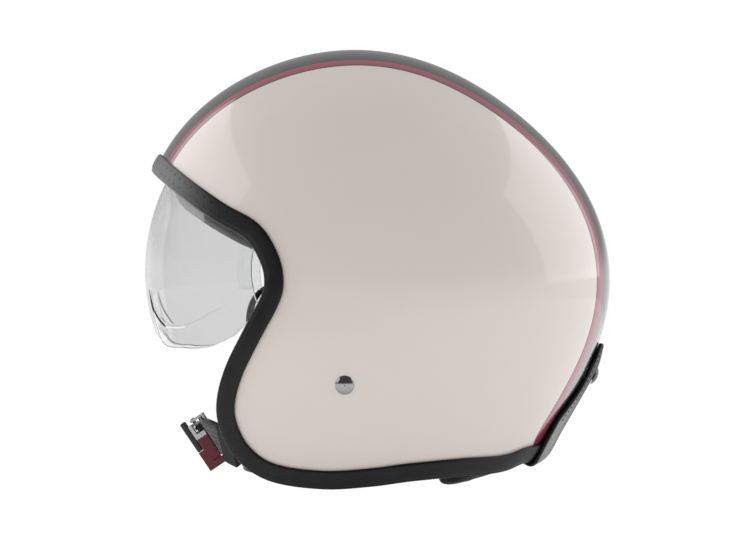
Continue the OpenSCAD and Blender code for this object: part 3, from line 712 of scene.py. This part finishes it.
def puff(node, material, shrink, cap, voxel):
    """A pad in a CAD node's place: its shape drawn in, then swollen by cloth pressure."""
    piece = new_object(node + "_pad", frame_mesh(node, False))
    put_points(piece.data, points_of(piece.data) - shrink * MM * points_of(piece.data, "normal"))
    remesh = piece.modifiers.new("Remesh", "REMESH")
    remesh.mode = "VOXEL"
    remesh.voxel_size = voxel * MM
    made_real(piece)
    start = points_of(piece.data)
    cloth = piece.modifiers.new("Cloth", "CLOTH")
    cloth.settings.use_pressure = True
    cloth.settings.uniform_pressure_force = 4
    cloth.settings.effector_weights.gravity = 0
    cloth.point_cache.frame_start = 1
    cloth.point_cache.frame_end = CLOTH_FRAMES
    for number in range(1, CLOTH_FRAMES + 1):
        bpy.context.scene.frame_set(number)
    made_real(piece)
    bpy.context.scene.frame_set(1)
    moved = points_of(piece.data) - start
    length = np.linalg.norm(moved, axis=1, keepdims=True)
    moved *= np.minimum(1, cap * MM / np.maximum(length, 1e-9))
    put_points(piece.data, start + moved)
    smooth = piece.modifiers.new("Subdivision", "SUBSURF")
    smooth.levels = 2
    smooth.render_levels = 2
    made_real(piece)
    piece.data.materials.clear()
    piece.data.materials.append(material)
    set_smooth(piece.data)
    stand_for(piece, node)
    return piece


def sew(piece, path, depth, width):
    """Presses a sewn channel into a pad along a path in millimetres."""
    points = points_of(piece.data)
    near = np.full(len(points), np.inf)
    for spot in np.asarray(path) * MM:
        near = np.minimum(near, ((points - spot) ** 2).sum(1))
    press = depth * MM * np.exp(-near / (width * MM) ** 2)
    put_points(piece.data, points - press[:, None] * points_of(piece.data, "normal"))


def grid_normals(grid):
    """Unit normals of a grid of points."""
    return unit(np.cross(np.gradient(grid, axis=0), np.gradient(grid, axis=1)))


def put_uv(piece, across, along):
    """The UV map that woven materials read: millimetres across and along, one pair for each vertex."""
    layer = piece.data.uv_layers.new(name="across_along")
    index = np.empty(len(piece.data.loops), int)
    piece.data.loops.foreach_get("vertex_index", index)
    layer.data.foreach_set("uv", np.stack([np.ravel(across)[index], np.ravel(along)[index]], 1).ravel())


# ---- shell and trim
SHELL_COLUMNS = 240
SHELL_RINGS = 84
around_edge = edge_direction(np.arange(SHELL_COLUMNS) * len(EDGE) / SHELL_COLUMNS)
ring_share = 1 - (1 - np.arange(1, SHELL_RINGS + 1) / SHELL_RINGS) ** 1.3
shell_way = turn(POLE, around_edge[None], ring_share[:, None])
shell_points, shell_faces = dome(
    on_skin(shell_way, 0.0), on_skin(shell_way, -SHELL_WALL), on_skin(POLE, 0.0), on_skin(POLE, -SHELL_WALL)
)
shell = new_piece("shell", shell_points, shell_faces, LACQUER, replaces=["outer_shell"], slot="shell")
face_outward(shell)
sharpen(shell, 40)

# Trim section, [in from the shell's edge, above its skin]: the face that shows, then its back.
TRIM_FACE = [
    [9.9, 0.1], [10.4, 0.8], [10.2, 1.8], [9.2, 2.4], [7.5, 2.65], [5, 2.75], [2.4, 2.65], [0.8, 2.25],
    [0.3, 1.95], [-0.4, 1.95], [-1.2, 1.3], [-1.8, 0.1], [-2, -1.5], [-1.95, -3], [-1.5, -4.6],
    [-0.4, -5.6], [1.5, -5.85], [4.5, -5.85], [6.4, -5.7], [6.9, -5.1], [6.5, -4.5],
]
TRIM_BACK = [[3, -4.4], [-0.25, -4.4], [-0.25, 0.05], [4, 0.05], [8, 0.05]]
face_curve = curve_at(TRIM_FACE, np.linspace(0, len(TRIM_FACE) - 1, 400))
face_length = lengths(face_curve)
FINE_STRETCH = 16.0
even = np.concatenate([np.arange(0, FINE_STRETCH, 0.4), np.linspace(FINE_STRETCH, face_length[-1], 14)])
trim_section = np.concatenate([sampled(face_curve, face_length, even), TRIM_BACK])

# The brow's holes end this many edge points from the middle.
PERFORATED = 4.2
edge_k = np.linspace(-NAPE, NAPE, 8001)
edge_length = lengths(over_edge(edge_k, 4.0, 2.6))
edge_length -= edge_length[len(edge_length) // 2]
holes_end = float(np.interp(PERFORATED, edge_k, edge_length))
fine_places = np.arange(-holes_end, holes_end, 0.35)
plain = np.linspace(holes_end, edge_length[-1], 130)
trim_places = np.concatenate([-plain[:0:-1], fine_places, plain[:-1]])
trim_k = np.interp(trim_places, edge_length, edge_k)
HOLE_PITCH = 7.0
HOLE_DEPTH = 0.6
HOLE_RADIUS = 0.45
HOLE_ROWS = (2.5, 7.2)
trim_h = np.repeat(trim_section[None, :, 1], len(trim_places), 0)
for row, shift in zip(HOLE_ROWS, (0.0, HOLE_PITCH / 2)):
    along = (trim_places[:, None] + shift + HOLE_PITCH / 2) % HOLE_PITCH - HOLE_PITCH / 2
    reach = np.hypot(along, trim_section[None, :, 0] - row)
    punched = (np.abs(trim_places[:, None]) < holes_end - 1.0) * (trim_h > 1.5)
    trim_h = trim_h - HOLE_DEPTH * ease(1.5 - reach / HOLE_RADIUS) * punched
trim_points, trim_faces = tube(over_edge(trim_k[:, None], trim_section[None, :, 0], trim_h), closed=True)
trim = new_piece("trim", trim_points, trim_faces, TRIM_LEATHER, replaces=["edge_trim"], slot="trim")
face_outward(trim)

# ---- visor
VISOR_PIVOT = np.array([0.0, -21.0, 131.0])
VISOR_RADIUS = 118.0
VISOR_REAR_RADIUS = 53.0
VISOR_HALF_WIDTH = 105.0
VISOR_POWER = 2.4
VISOR_WALL = 2.0
VISOR_TOP = 30.0
# Half of the bead's height in degrees, and how far the lip below it stands out.
BEAD_HALF = 0.6
LIP_STEP = 0.7
# Lower edge and stiffening bead, [from the middle plane, degrees above the pivot].
VISOR_EDGE = np.array([
    [0, -17], [20, -19.5], [40, -24], [59, -26.5], [78, -31], [88, -32], [95, -29.5], [99, -24],
])
VISOR_BEAD = np.array([
    [0, -4.5], [20, -5], [30.6, -6.7], [34.7, -11.6], [42.8, -15.6], [48.9, -17.9], [67.4, -20],
    [77.9, -19.8], [91.4, -17.2], [99, -14],
])


def visor_outline(x):
    """Radius of the visor about its pivot line, at a distance from the middle plane."""
    return VISOR_RADIUS * (1 - (np.abs(x) / VISOR_HALF_WIDTH) ** VISOR_POWER) ** (1 / VISOR_POWER)


def visor_grid(columns=151, low_rows=12, bead_rows=7, high_rows=32):
    """Outer and inner grids of the visor's wall, from its lower edge up to its hidden top."""
    side = math.asin((1 - (VISOR_REAR_RADIUS / VISOR_RADIUS) ** VISOR_POWER) ** (1 / VISOR_POWER))
    x = VISOR_HALF_WIDTH * np.sin(np.linspace(-side, side, columns))
    low = np.interp(np.abs(x), VISOR_EDGE[:, 0], VISOR_EDGE[:, 1])
    bead = np.interp(np.abs(x), VISOR_BEAD[:, 0], VISOR_BEAD[:, 1])
    share = np.concatenate([
        np.linspace(0, 1, low_rows, endpoint=False),
        np.linspace(1, 2, bead_rows, endpoint=False),
        np.linspace(2, 3, high_rows),
    ])[:, None]
    stops = np.stack([low, bead - BEAD_HALF, bead + BEAD_HALF, np.full(columns, VISOR_TOP)])
    angle = np.where(
        share < 1, mix(stops[0], stops[1], share),
        np.where(share < 2, mix(stops[1], stops[2], share - 1), mix(stops[2], stops[3], share - 2)),
    )
    step = LIP_STEP * ease(2 - share) * ease((np.abs(x) - 28) / 6) * ease((93 - np.abs(x)) / 10)
    radius = visor_outline(x)
    ray = np.stack([np.zeros_like(angle), -np.cos(np.radians(angle)), np.sin(np.radians(angle))], -1)
    across = np.broadcast_to(x, angle.shape)
    side_way = np.stack([across / VISOR_HALF_WIDTH, 0 * across, 0 * across], -1)
    reach = np.broadcast_to(radius, angle.shape)[..., None]
    outer = VISOR_PIVOT + reach * ray + across[..., None] * np.array([1.0, 0, 0])
    swell = unit((reach / VISOR_RADIUS) ** 1.4 * ray + np.sign(side_way) * np.abs(side_way) ** 1.4)
    outer = outer + step[..., None] * swell
    return outer, outer - VISOR_WALL * swell


visor_points, visor_faces = slab(*visor_grid())
visor = new_piece("visor_wall", visor_points, visor_faces, CLEAR, "visor", ["visor_lens"], "visor")
face_outward(visor)
sharpen(visor, 50)
add_bevel(visor, 0.5, 2, 50).harden_normals = True

for side in ("left", "right"):
    finish_node("visor_hub_" + side, HUB_CLEAR, 0.3)
    finish_node("pivot_plate_" + side, BLACK_NYLON, 0.4)
finish_node("pivot_washers", WHITE_ACETAL, 0.12)
finish_node("pivot_screws", STEEL, 0.3)
finish_node("visor_stops", BLACK_NYLON, 0.4)

# ---- liners and pads
finish_node("eps_liner", FOAM, 0, sharp=45, whole_faces=False)
finish_node("liner_snaps", BLACK_NYLON, 0.25)


def crown_point(a, share, g):
    """A point of the lining: at angle a round the head, share of the way from its top to its rim."""
    rise = math.pi / 2 - share * np.radians(88 + 28 * np.sin(a))
    return in_head(np.stack([np.cos(rise) * np.cos(a), np.cos(rise) * np.sin(a), np.sin(rise)], -1), g)


CROWN_PANEL = 27.0
CROWN_GAP = 2.0
CHANNEL_PITCH = 34.0


def crown_liner():
    """Quilted comfort liner: a mesh centre panel between two cords, and channels across its sides."""
    a = np.linspace(0, 2 * math.pi, 288, endpoint=False)
    share = np.linspace(1 / 72, 1, 72)[:, None]
    face = crown_point(a[None], share, 0.0)
    x, y = np.abs(face[..., 0]), face[..., 1]
    seam = np.abs(x - CROWN_PANEL)
    across = np.abs((y + 92) % CHANNEL_PITCH - CHANNEL_PITCH / 2)
    seam = np.where(x > CROWN_PANEL, np.minimum(seam, across), seam)
    rim = (1 - share) * 100
    puffed = 1 - np.exp(-np.minimum(seam, rim) / 4.5)
    inner = crown_point(a[None], share, 1.8 - 2.4 * puffed)
    outer = crown_point(a[None], share, LINING - CROWN_GAP - 2.0 * np.exp(-rim / 3))
    pole = crown_point(np.zeros(1), np.zeros(1), LINING - CROWN_GAP)[0]
    inner_pole = crown_point(np.zeros(1), np.zeros(1), 1.8 - 2.4)[0]
    points, faces = dome(outer, inner, pole, inner_pole)
    made = new_piece("quilted_liner", points, faces, LINER_CLOTH, replaces=["crown_liner"], slot="lining")
    face_outward(made)
    made.data.materials.append(MESH_CLOTH)
    middle = [abs(p.center.x) < CROWN_PANEL * MM for p in made.data.polygons]
    made.data.polygons.foreach_set("material_index", [int(m) for m in middle])
    return made


crown = crown_liner()
turned = np.radians(np.linspace(-57, 112, 160))
for side in (-1, 1):
    way = unit(np.stack([np.full(160, side * 0.31), np.sin(turned), np.cos(turned)], -1))
    for _ in range(4):
        spot = in_head(way, 0.4)
        spot[:, 0] = side * CROWN_PANEL
        way = unit(spot - HEAD_CENTRE)
    line = in_head(way, 0.7)
    name = "crown_cord_left" if side > 0 else "crown_cord_right"
    cord = new_piece(name, *tube(cord_rings(line, 0.9)), NECK_LEATHER)
    cord.parent = crown
    cord.matrix_parent_inverse = crown.matrix_world.inverted()

# Rim of a cheek pad, [y, z].
CHEEK_OUTLINE = np.array([
    [-88, 106], [-73, 121], [-36, 126], [-6, 119], [18, 98], [26, 70], [20, 45], [0, 32], [-28, 29],
    [-54, 32], [-72, 46], [-84, 76],
])
CHEEK_MIDDLE = np.array([-30.0, 76.0])
CHEEK_SIDE = 82.0
CHEEK_THICKNESS = 19.0
CHEEK_GAP = 2.6


def cheek_ring(side, share, sink, count=180):
    """A closed line round a cheek pad: share of the way to its rim, sink below its outer face."""
    places = np.linspace(0, len(CHEEK_OUTLINE), count, endpoint=False)
    knots = curve_at(CHEEK_OUTLINE, places, closed=True)
    rim = unit(np.column_stack([np.full(count, side * CHEEK_SIDE), knots]) - HEAD_CENTRE)
    middle = unit(np.array([side * CHEEK_SIDE, *CHEEK_MIDDLE]) - HEAD_CENTRE)
    line = in_head(turn(middle, rim, share), LINING - CHEEK_GAP - sink)
    return np.concatenate([line, line[:1]])


for name, side in (("cheek_pad_left", 1), ("cheek_pad_right", -1)):
    pad = puff(name, PAD_CLOTH, shrink=1.4, cap=2.6, voxel=4.5)
    sew(pad, cheek_ring(side, 0.66, CHEEK_THICKNESS), depth=2.2, width=2.6)
    new_piece(name + "_cord", *tube(cord_rings(cheek_ring(side, 0.985, 2.4), 1.2)), NECK_LEATHER)
puff("brow_pad", BROW_CLOTH, shrink=-1.0, cap=1.8, voxel=3.5)
roll = puff("neck_roll", NECK_LEATHER, shrink=-2.4, cap=1.4, voxel=4.0)

# The neck roll's middle line: degrees each side, half width, reach behind the head, height and fall.
ROLL_SPAN = 57.0
ROLL_WIDE = 67.0
ROLL_REACH = 84.0
ROLL_HEIGHT = 31.0
ROLL_FALL = 12.5


def roll_line(angle_round, out):
    """A line along the neck roll, at an angle round its section and a distance out from its middle line."""
    a = np.linspace(-50, 50, 120)
    sin, cos = np.sin(np.radians(a)), np.cos(np.radians(a))
    height = ROLL_HEIGHT - ROLL_FALL * (np.abs(a) / ROLL_SPAN) ** 1.3
    middle = np.stack([ROLL_WIDE * sin, HEAD_CENTRE[1] + ROLL_REACH * cos, height], -1)
    way = np.stack([sin, cos, 0 * a], -1)
    turned = math.radians(angle_round)
    return middle + out[0] * math.cos(turned) * way + out[1] * math.sin(turned) * np.array([0, 0, 1.0])


sew(roll, roll_line(180, (9.5, 16.3)), depth=1.8, width=2.4)

# ---- chin strap
STRAP_WIDTH = 22.0
STRAP_THICKNESS = 1.8
RIVET_AT = (-18.0, 62.5)
rivet_point = np.array([float(skin_width(*RIVET_AT)), *RIVET_AT])
rivet_normal = skin_normal(rivet_point - SKIN_CENTRE)
rivet_up = unit(np.cross(rivet_normal, [0, 1, 0]))
rivet_across = np.cross(rivet_up, rivet_normal)
ANCHOR_THICKNESS = 1.6
STRAP_DEPTH = SHELL_WALL + 1 + ANCHOR_THICKNESS + 0.05 + STRAP_THICKNESS / 2
BUCKLE_AT = np.array([7.0, -100.0, 29.5])
BUCKLE_TILT = math.radians(-56)
BUCKLE_ACROSS = np.array([0, math.cos(BUCKLE_TILT), math.sin(BUCKLE_TILT)])
BUCKLE_OUT = np.array([0, -math.sin(BUCKLE_TILT), math.cos(BUCKLE_TILT)])


def by_rivet(up):
    return rivet_point - STRAP_DEPTH * rivet_normal + up * rivet_up


def by_buckle(along, out, side=1):
    """A point on the strap's middle line near the buckle; side -1 is turned over for the mirror."""
    place = BUCKLE_AT + along * np.array([1.0, 0, 0]) + out * BUCKLE_OUT
    return place * np.array([side, 1, 1])


FLAT = list(BUCKLE_ACROSS)
STRAP_ROUTE = [
    [by_rivet(11), rivet_across], [by_rivet(0), rivet_across], [by_rivet(-12), rivet_across],
    [[103, -27, 38], [0, 1, -0.1]], [[88, -40, 27], [0.2, 1, -0.4]], [[72, -62, 22], [0.2, 0.9, -0.7]],
    [[57, -82, 24], [0.1, 0.7, -0.8]], [[40, -97.5, 31], FLAT],
]
LEFT_END = [[by_buckle(*q), FLAT] for q in ((20, 2.5), (14.5, -0.1), (11.5, 1.2))]
# The right webbing's loop round the tongue's bar.
RIGHT_LOOP = ((-33, 3.0), (-29, 3.6), (-25.6, 2.9), (-25.4, 0.9), (-28.6, 0.0), (-34, 0.2), (-44, -0.4))
RIGHT_END = [[by_buckle(*q, -1), FLAT] for q in RIGHT_LOOP] + [[[56.5, -84.5, 25.0], [0.1, 0.7, -0.8]]]


def strap_line(route, s):
    """Points, width directions and outward directions along a route of [place, direction of its width]."""
    path = curve_at([q[0] for q in route], s)
    wide = curve_at([q[1] for q in route], s)
    along = unit(np.gradient(path, axis=0))
    wide = unit(wide - (wide * along).sum(1, keepdims=True) * along)
    return path, wide, np.cross(along, wide)


def tape(name, route, side, body, node, samples=26):
    """Woven tape along a route, on the left (side 1) or mirrored to the right (side -1)."""
    last = len(route) - 1
    path, wide, out = strap_line(route, np.linspace(0, last, samples * last + 1))
    place = lengths(path)
    u = np.array([-1, -0.985, -0.94, -0.7, -0.35, 0, 0.35, 0.7, 0.94, 0.985, 1])
    lift = np.array([0.25, 0.75, 1, 0.94, 1, 0.94, 1, 0.94, 1, 0.75, 0.25])
    u = np.concatenate([u, u[::-1]])
    lift = np.concatenate([lift, -lift[::-1]])
    rings = path[:, None] + (u * STRAP_WIDTH / 2)[None, :, None] * wide[:, None]
    rings = rings + (lift * STRAP_THICKNESS / 2)[None, :, None] * out[:, None]
    rings = rings * np.array([side, 1, 1])
    made = new_piece(name, *tube(rings), WEB, body, [node], "webbing")
    shape = rings.shape[:2]
    put_uv(made, np.broadcast_to(u * STRAP_WIDTH / 2, shape), np.broadcast_to(place[:, None], shape))
    face_outward(made)
    return made


tape("left_webbing", STRAP_ROUTE + LEFT_END, 1, "helmet", "chin_strap_left")
right_webbing = tape("right_webbing", STRAP_ROUTE + RIGHT_END, -1, None, "chin_strap_right")
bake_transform(right_webbing)


SLEEVE_WIDTH = 26.0


def strap_pad():
    """Padded cloth sleeve on the chin side of the left strap, with a sewn rim."""
    path, wide, out = strap_line(STRAP_ROUTE, np.linspace(4.15, 5.85, 61))
    t = np.linspace(-1, 1, 61)
    u = np.linspace(-1, 1, 33)
    crown = ((1 - t[:, None] ** 8) * (1 - u[None, :] ** 8)) ** 0.5
    half = SLEEVE_WIDTH / 2 * (1 - 0.06 * t**6)
    flat = path[:, None] + (half[:, None] * u[None, :])[..., None] * wide[:, None]
    middle = STRAP_THICKNESS / 2 + 2.7
    low = flat + (middle - 1.2 - 0.9 * crown)[..., None] * out[:, None]
    quilt = 1 - 0.35 * np.exp(-((np.abs(u[None, :]) - 0.8) / 0.07) ** 2)
    high = flat + (middle - 0.8 + 3.1 * crown * quilt)[..., None] * out[:, None]
    made = new_piece(
        "strap_sleeve", *slab(high, low), PAD_CLOTH, replaces=["strap_pad_left"], slot="lining"
    )
    face_outward(made)


strap_pad()
for side in ("left", "right"):
    finish_node("strap_anchor_" + side, STEEL, 0.3)
    finish_node("strap_rivet_" + side, CHROME, 0)
finish_node("strap_keeper", RUBBER, 0.4)
finish_node("buckle_housing", STEEL, 0.3)
lever = finish_node("buckle_lever", STEEL, 0.5, 3)
lever.data.materials.append(RED_NYLON)
# The lever is red from this far across it.
RED_FROM = -3.0
cut = Vector(BUCKLE_AT + RED_FROM * BUCKLE_ACROSS) * MM
way = Vector(BUCKLE_ACROSS)
with edited(lever.data) as work:
    whole = work.verts[:] + work.edges[:] + work.faces[:]
    bmesh.ops.bisect_plane(work, geom=whole, dist=1e-7, plane_co=cut, plane_no=way)
    for face in work.faces:
        face.material_index = int((face.calc_center_median() - cut).dot(way) > 0)
# Rib between the lever's lobe and its end web, along the strap, across it and out from it.
RIB = ((27.0, 29.2), (11.0, 13.8), (-4.8, 0.6))
rib_corners = np.array(list(itertools.product(*RIB)))
rib_frame = np.stack([np.array([1.0, 0, 0]), BUCKLE_ACROSS, BUCKLE_OUT])
rib_faces = [[0, 1, 3, 2], [4, 6, 7, 5], [0, 4, 5, 1], [2, 3, 7, 6], [0, 2, 6, 4], [1, 5, 7, 3]]
new_piece("lever_rib", BUCKLE_AT + rib_corners @ rib_frame, rib_faces, RED_NYLON, "lever", smooth=False)
finish_node("lever_grip", SLATE, 0.9, 3)
finish_node("buckle_pawl", STEEL, 0.15)
finish_node("lever_pin", STEEL, 0.2)
finish_node("lever_spring", STEEL, 0, sharp=60, whole_faces=False)
finish_node("ratchet_tongue", STEEL, 0.2)

# ---- goggle strap
LEATHER = 2.2
BASE_HALF = 38.0
TIP_HALF = 14.0
ROOT_REACH = 0.78
ROOT_LINE = np.array([
    [9.6, 2.95], [1.2, 2.95], [-1.6, 2.1], [-2.5, 0.4], [-2.5, -2], [-2.2, -5.6], [-0.6, -7.2], [5, -7.2],
])
FLAP_LINE = np.array([
    [-33.6, 2.4, BASE_HALF - 4], [-30, 2.3, BASE_HALF - 8], [-26, 2.2, BASE_HALF - 13],
    [-22, 2.3, TIP_HALF + 5], [-18.5, 2.6, TIP_HALF + 1], [-15, 2.9, TIP_HALF],
    [-12.5, 2.2, TIP_HALF - 2], [-10.3, 1.2, TIP_HALF - 8],
])


def flap_point(v, u):
    """A point on the strap's underside: v from base to tip, u across it."""
    q = curve_at(FLAP_LINE, v * (len(FLAP_LINE) - 1))
    angle = np.radians(q[..., 0] + 2.2 * u * u * (1 - ease(2.5 * v)))
    r = side_radius(angle)
    way = unit(np.stack([u * q[..., 2], r * np.cos(angle), r * np.sin(angle)], -1))
    return on_skin(way, mix(q[..., 1], 0.7, u * u))


def strap_grid(rows_root=70, rows_flap=120, columns=81):
    """The strap's underside from its riveted end, round the trim, to its tip."""
    u = np.linspace(-1, 1, columns)[None]
    s = np.linspace(len(ROOT_LINE) - 1, 0.5, rows_root)
    section = curve_at(ROOT_LINE, s)
    k = NAPE - ROOT_REACH * u
    root = over_edge(np.broadcast_to(k, (rows_root, columns)), section[:, :1], section[:, 1:])
    flap = flap_point(np.broadcast_to(np.linspace(0.05, 1, rows_flap)[:, None], (rows_flap, columns)), u)
    grid = np.concatenate([root, flap])
    for _ in range(6):
        seam = slice(rows_root - 10, rows_root + 10)
        above = slice(rows_root - 9, rows_root + 11)
        below = slice(rows_root - 11, rows_root + 9)
        grid[seam] = 0.5 * grid[seam] + 0.25 * (grid[above] + grid[below])
    return grid


under = strap_grid()
lift = grid_normals(under)
if ((under - SKIN_CENTRE) * lift)[-20:].sum() < 0:
    lift = -lift
over = under + LEATHER * lift
strap = new_piece(
    "strap_leather", *slab(over, under), STRAP_LEATHER, None, ["goggle_strap", "goggle_strap_root"], "trim"
)
face_outward(strap)
sharpen(strap, 50)

mid = under + 0.5 * LEATHER * lift
border = np.concatenate([mid[:, 0], mid[-1, 1:-1], mid[::-1, -1]])
binding = new_piece("strap_binding", *tube(cord_rings(border, 1.3, 10)), TRIM_LEATHER, None)


def seam_of(grid, first=72, inset=5):
    """The row of the strap's grid that its stitches follow: up one side, round the tip, down the other."""
    up = grid[first:-inset, inset]
    tip = grid[-inset, inset:-inset]
    down = grid[first:-inset, -inset - 1]
    return np.concatenate([up, tip, down[::-1]])


sewing = stitches("strap_stitches", seam_of(over), seam_of(lift), BLACK_THREAD, None)
for piece in (strap, binding, sewing):
    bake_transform(piece)

finish_node("goggle_strap_rivets", STEEL, 0.3)
finish_node("snap_cap", BLACK_ENAMEL, 0.25)
finish_node("snap_stud", STEEL, 0.15)


# ---- room and camera
def sky():
    """White for the camera and through clear parts; a dim studio with a dark front for the rest."""
    world = bpy.data.worlds.new("studio")
    world.use_nodes = True
    bpy.context.scene.world = world
    s = Nodes(world.node_tree)
    side, _, height = s.parts(s.node("ShaderNodeTexCoord", {}, "Generated"))
    around = s.remap(side, -1.0, 1.0, 0.92, 0.72, smooth=True)
    dark = s.times(s.remap(height, 0.0, 0.12, smooth=True), s.ray("Glossy"))
    far = s.remap(side, -0.6, 0.3, 0.62, 0.85, smooth=True)
    dim = s.times(around, s.minus(1.0, s.times(dark, far)))
    clear = s.math("MAXIMUM", s.ray("Camera"), s.ray("Transmission"))
    background = s.nodes["Background"].inputs
    s.feed(background["Color"], (1, 1, 1))
    s.feed(background["Strength"], s.add(s.times(dim, s.minus(1.0, clear)), clear))


def softbox(name, azimuth, elevation, width, height, distance=2.5, radiance=1.05):
    """A soft lamp, with its azimuth counted from +X toward +Y in degrees."""
    lamp = bpy.data.lights.new(name, "AREA")
    lamp.shape = "RECTANGLE"
    lamp.size, lamp.size_y = width, height
    lamp.energy = radiance * math.pi * width * height
    made = new_object(name, lamp)
    a, e = math.radians(azimuth), math.radians(elevation)
    back = Vector((math.cos(a) * math.cos(e), math.sin(a) * math.cos(e), math.sin(e)))
    made.location = Vector((0, 0, 0.12)) + distance * back
    made.rotation_mode = "QUATERNION"
    made.rotation_quaternion = (-back).to_track_quat("-Z", "Y")
    made.visible_camera = False
    return made


sky()
softbox("right_bank", azimuth=108, elevation=23, width=3.0, height=2.0)
left_bank = softbox("left_bank", azimuth=-101, elevation=30, width=4.0, height=1.8)
# The left lamp would show as a hard patch in the visor, so it passes the visor by.
unlit = bpy.data.collections.new("past_the_left_bank")
unlit.objects.link(visor)
unlit.collection_objects[0].light_linking.link_state = "EXCLUDE"
left_bank.light_linking.receiver_collection = unlit

paper = plastic("white_paper", (0.85, 0.85, 0.85), 0.8, depth=0.005)
glow = paper.node_tree.nodes["Principled BSDF"].inputs
glow["Emission Color"].default_value = (1, 1, 1, 1)
glow["Emission Strength"].default_value = 0.25
floor_corners = [[x * 1250, y * 1250, -3] for x, y in ((-1, -1), (1, -1), (1, 1), (-1, 1))]
floor = new_piece("floor", floor_corners, [[0, 1, 2, 3]], paper, None)
floor.visible_camera = False

camera_data = bpy.data.cameras.new("camera")
camera_data.lens = 485.2
camera_data.sensor_width = 36
camera = new_object("camera", camera_data)
camera.location = (6.05, -0.0024, 0.1254)
camera.rotation_euler = (math.pi / 2, 0, math.pi / 2)
camera_data.clip_start = 0.1
camera_data.clip_end = 100
bpy.context.scene.camera = camera
bpy.context.scene.view_settings.view_transform = "Standard"
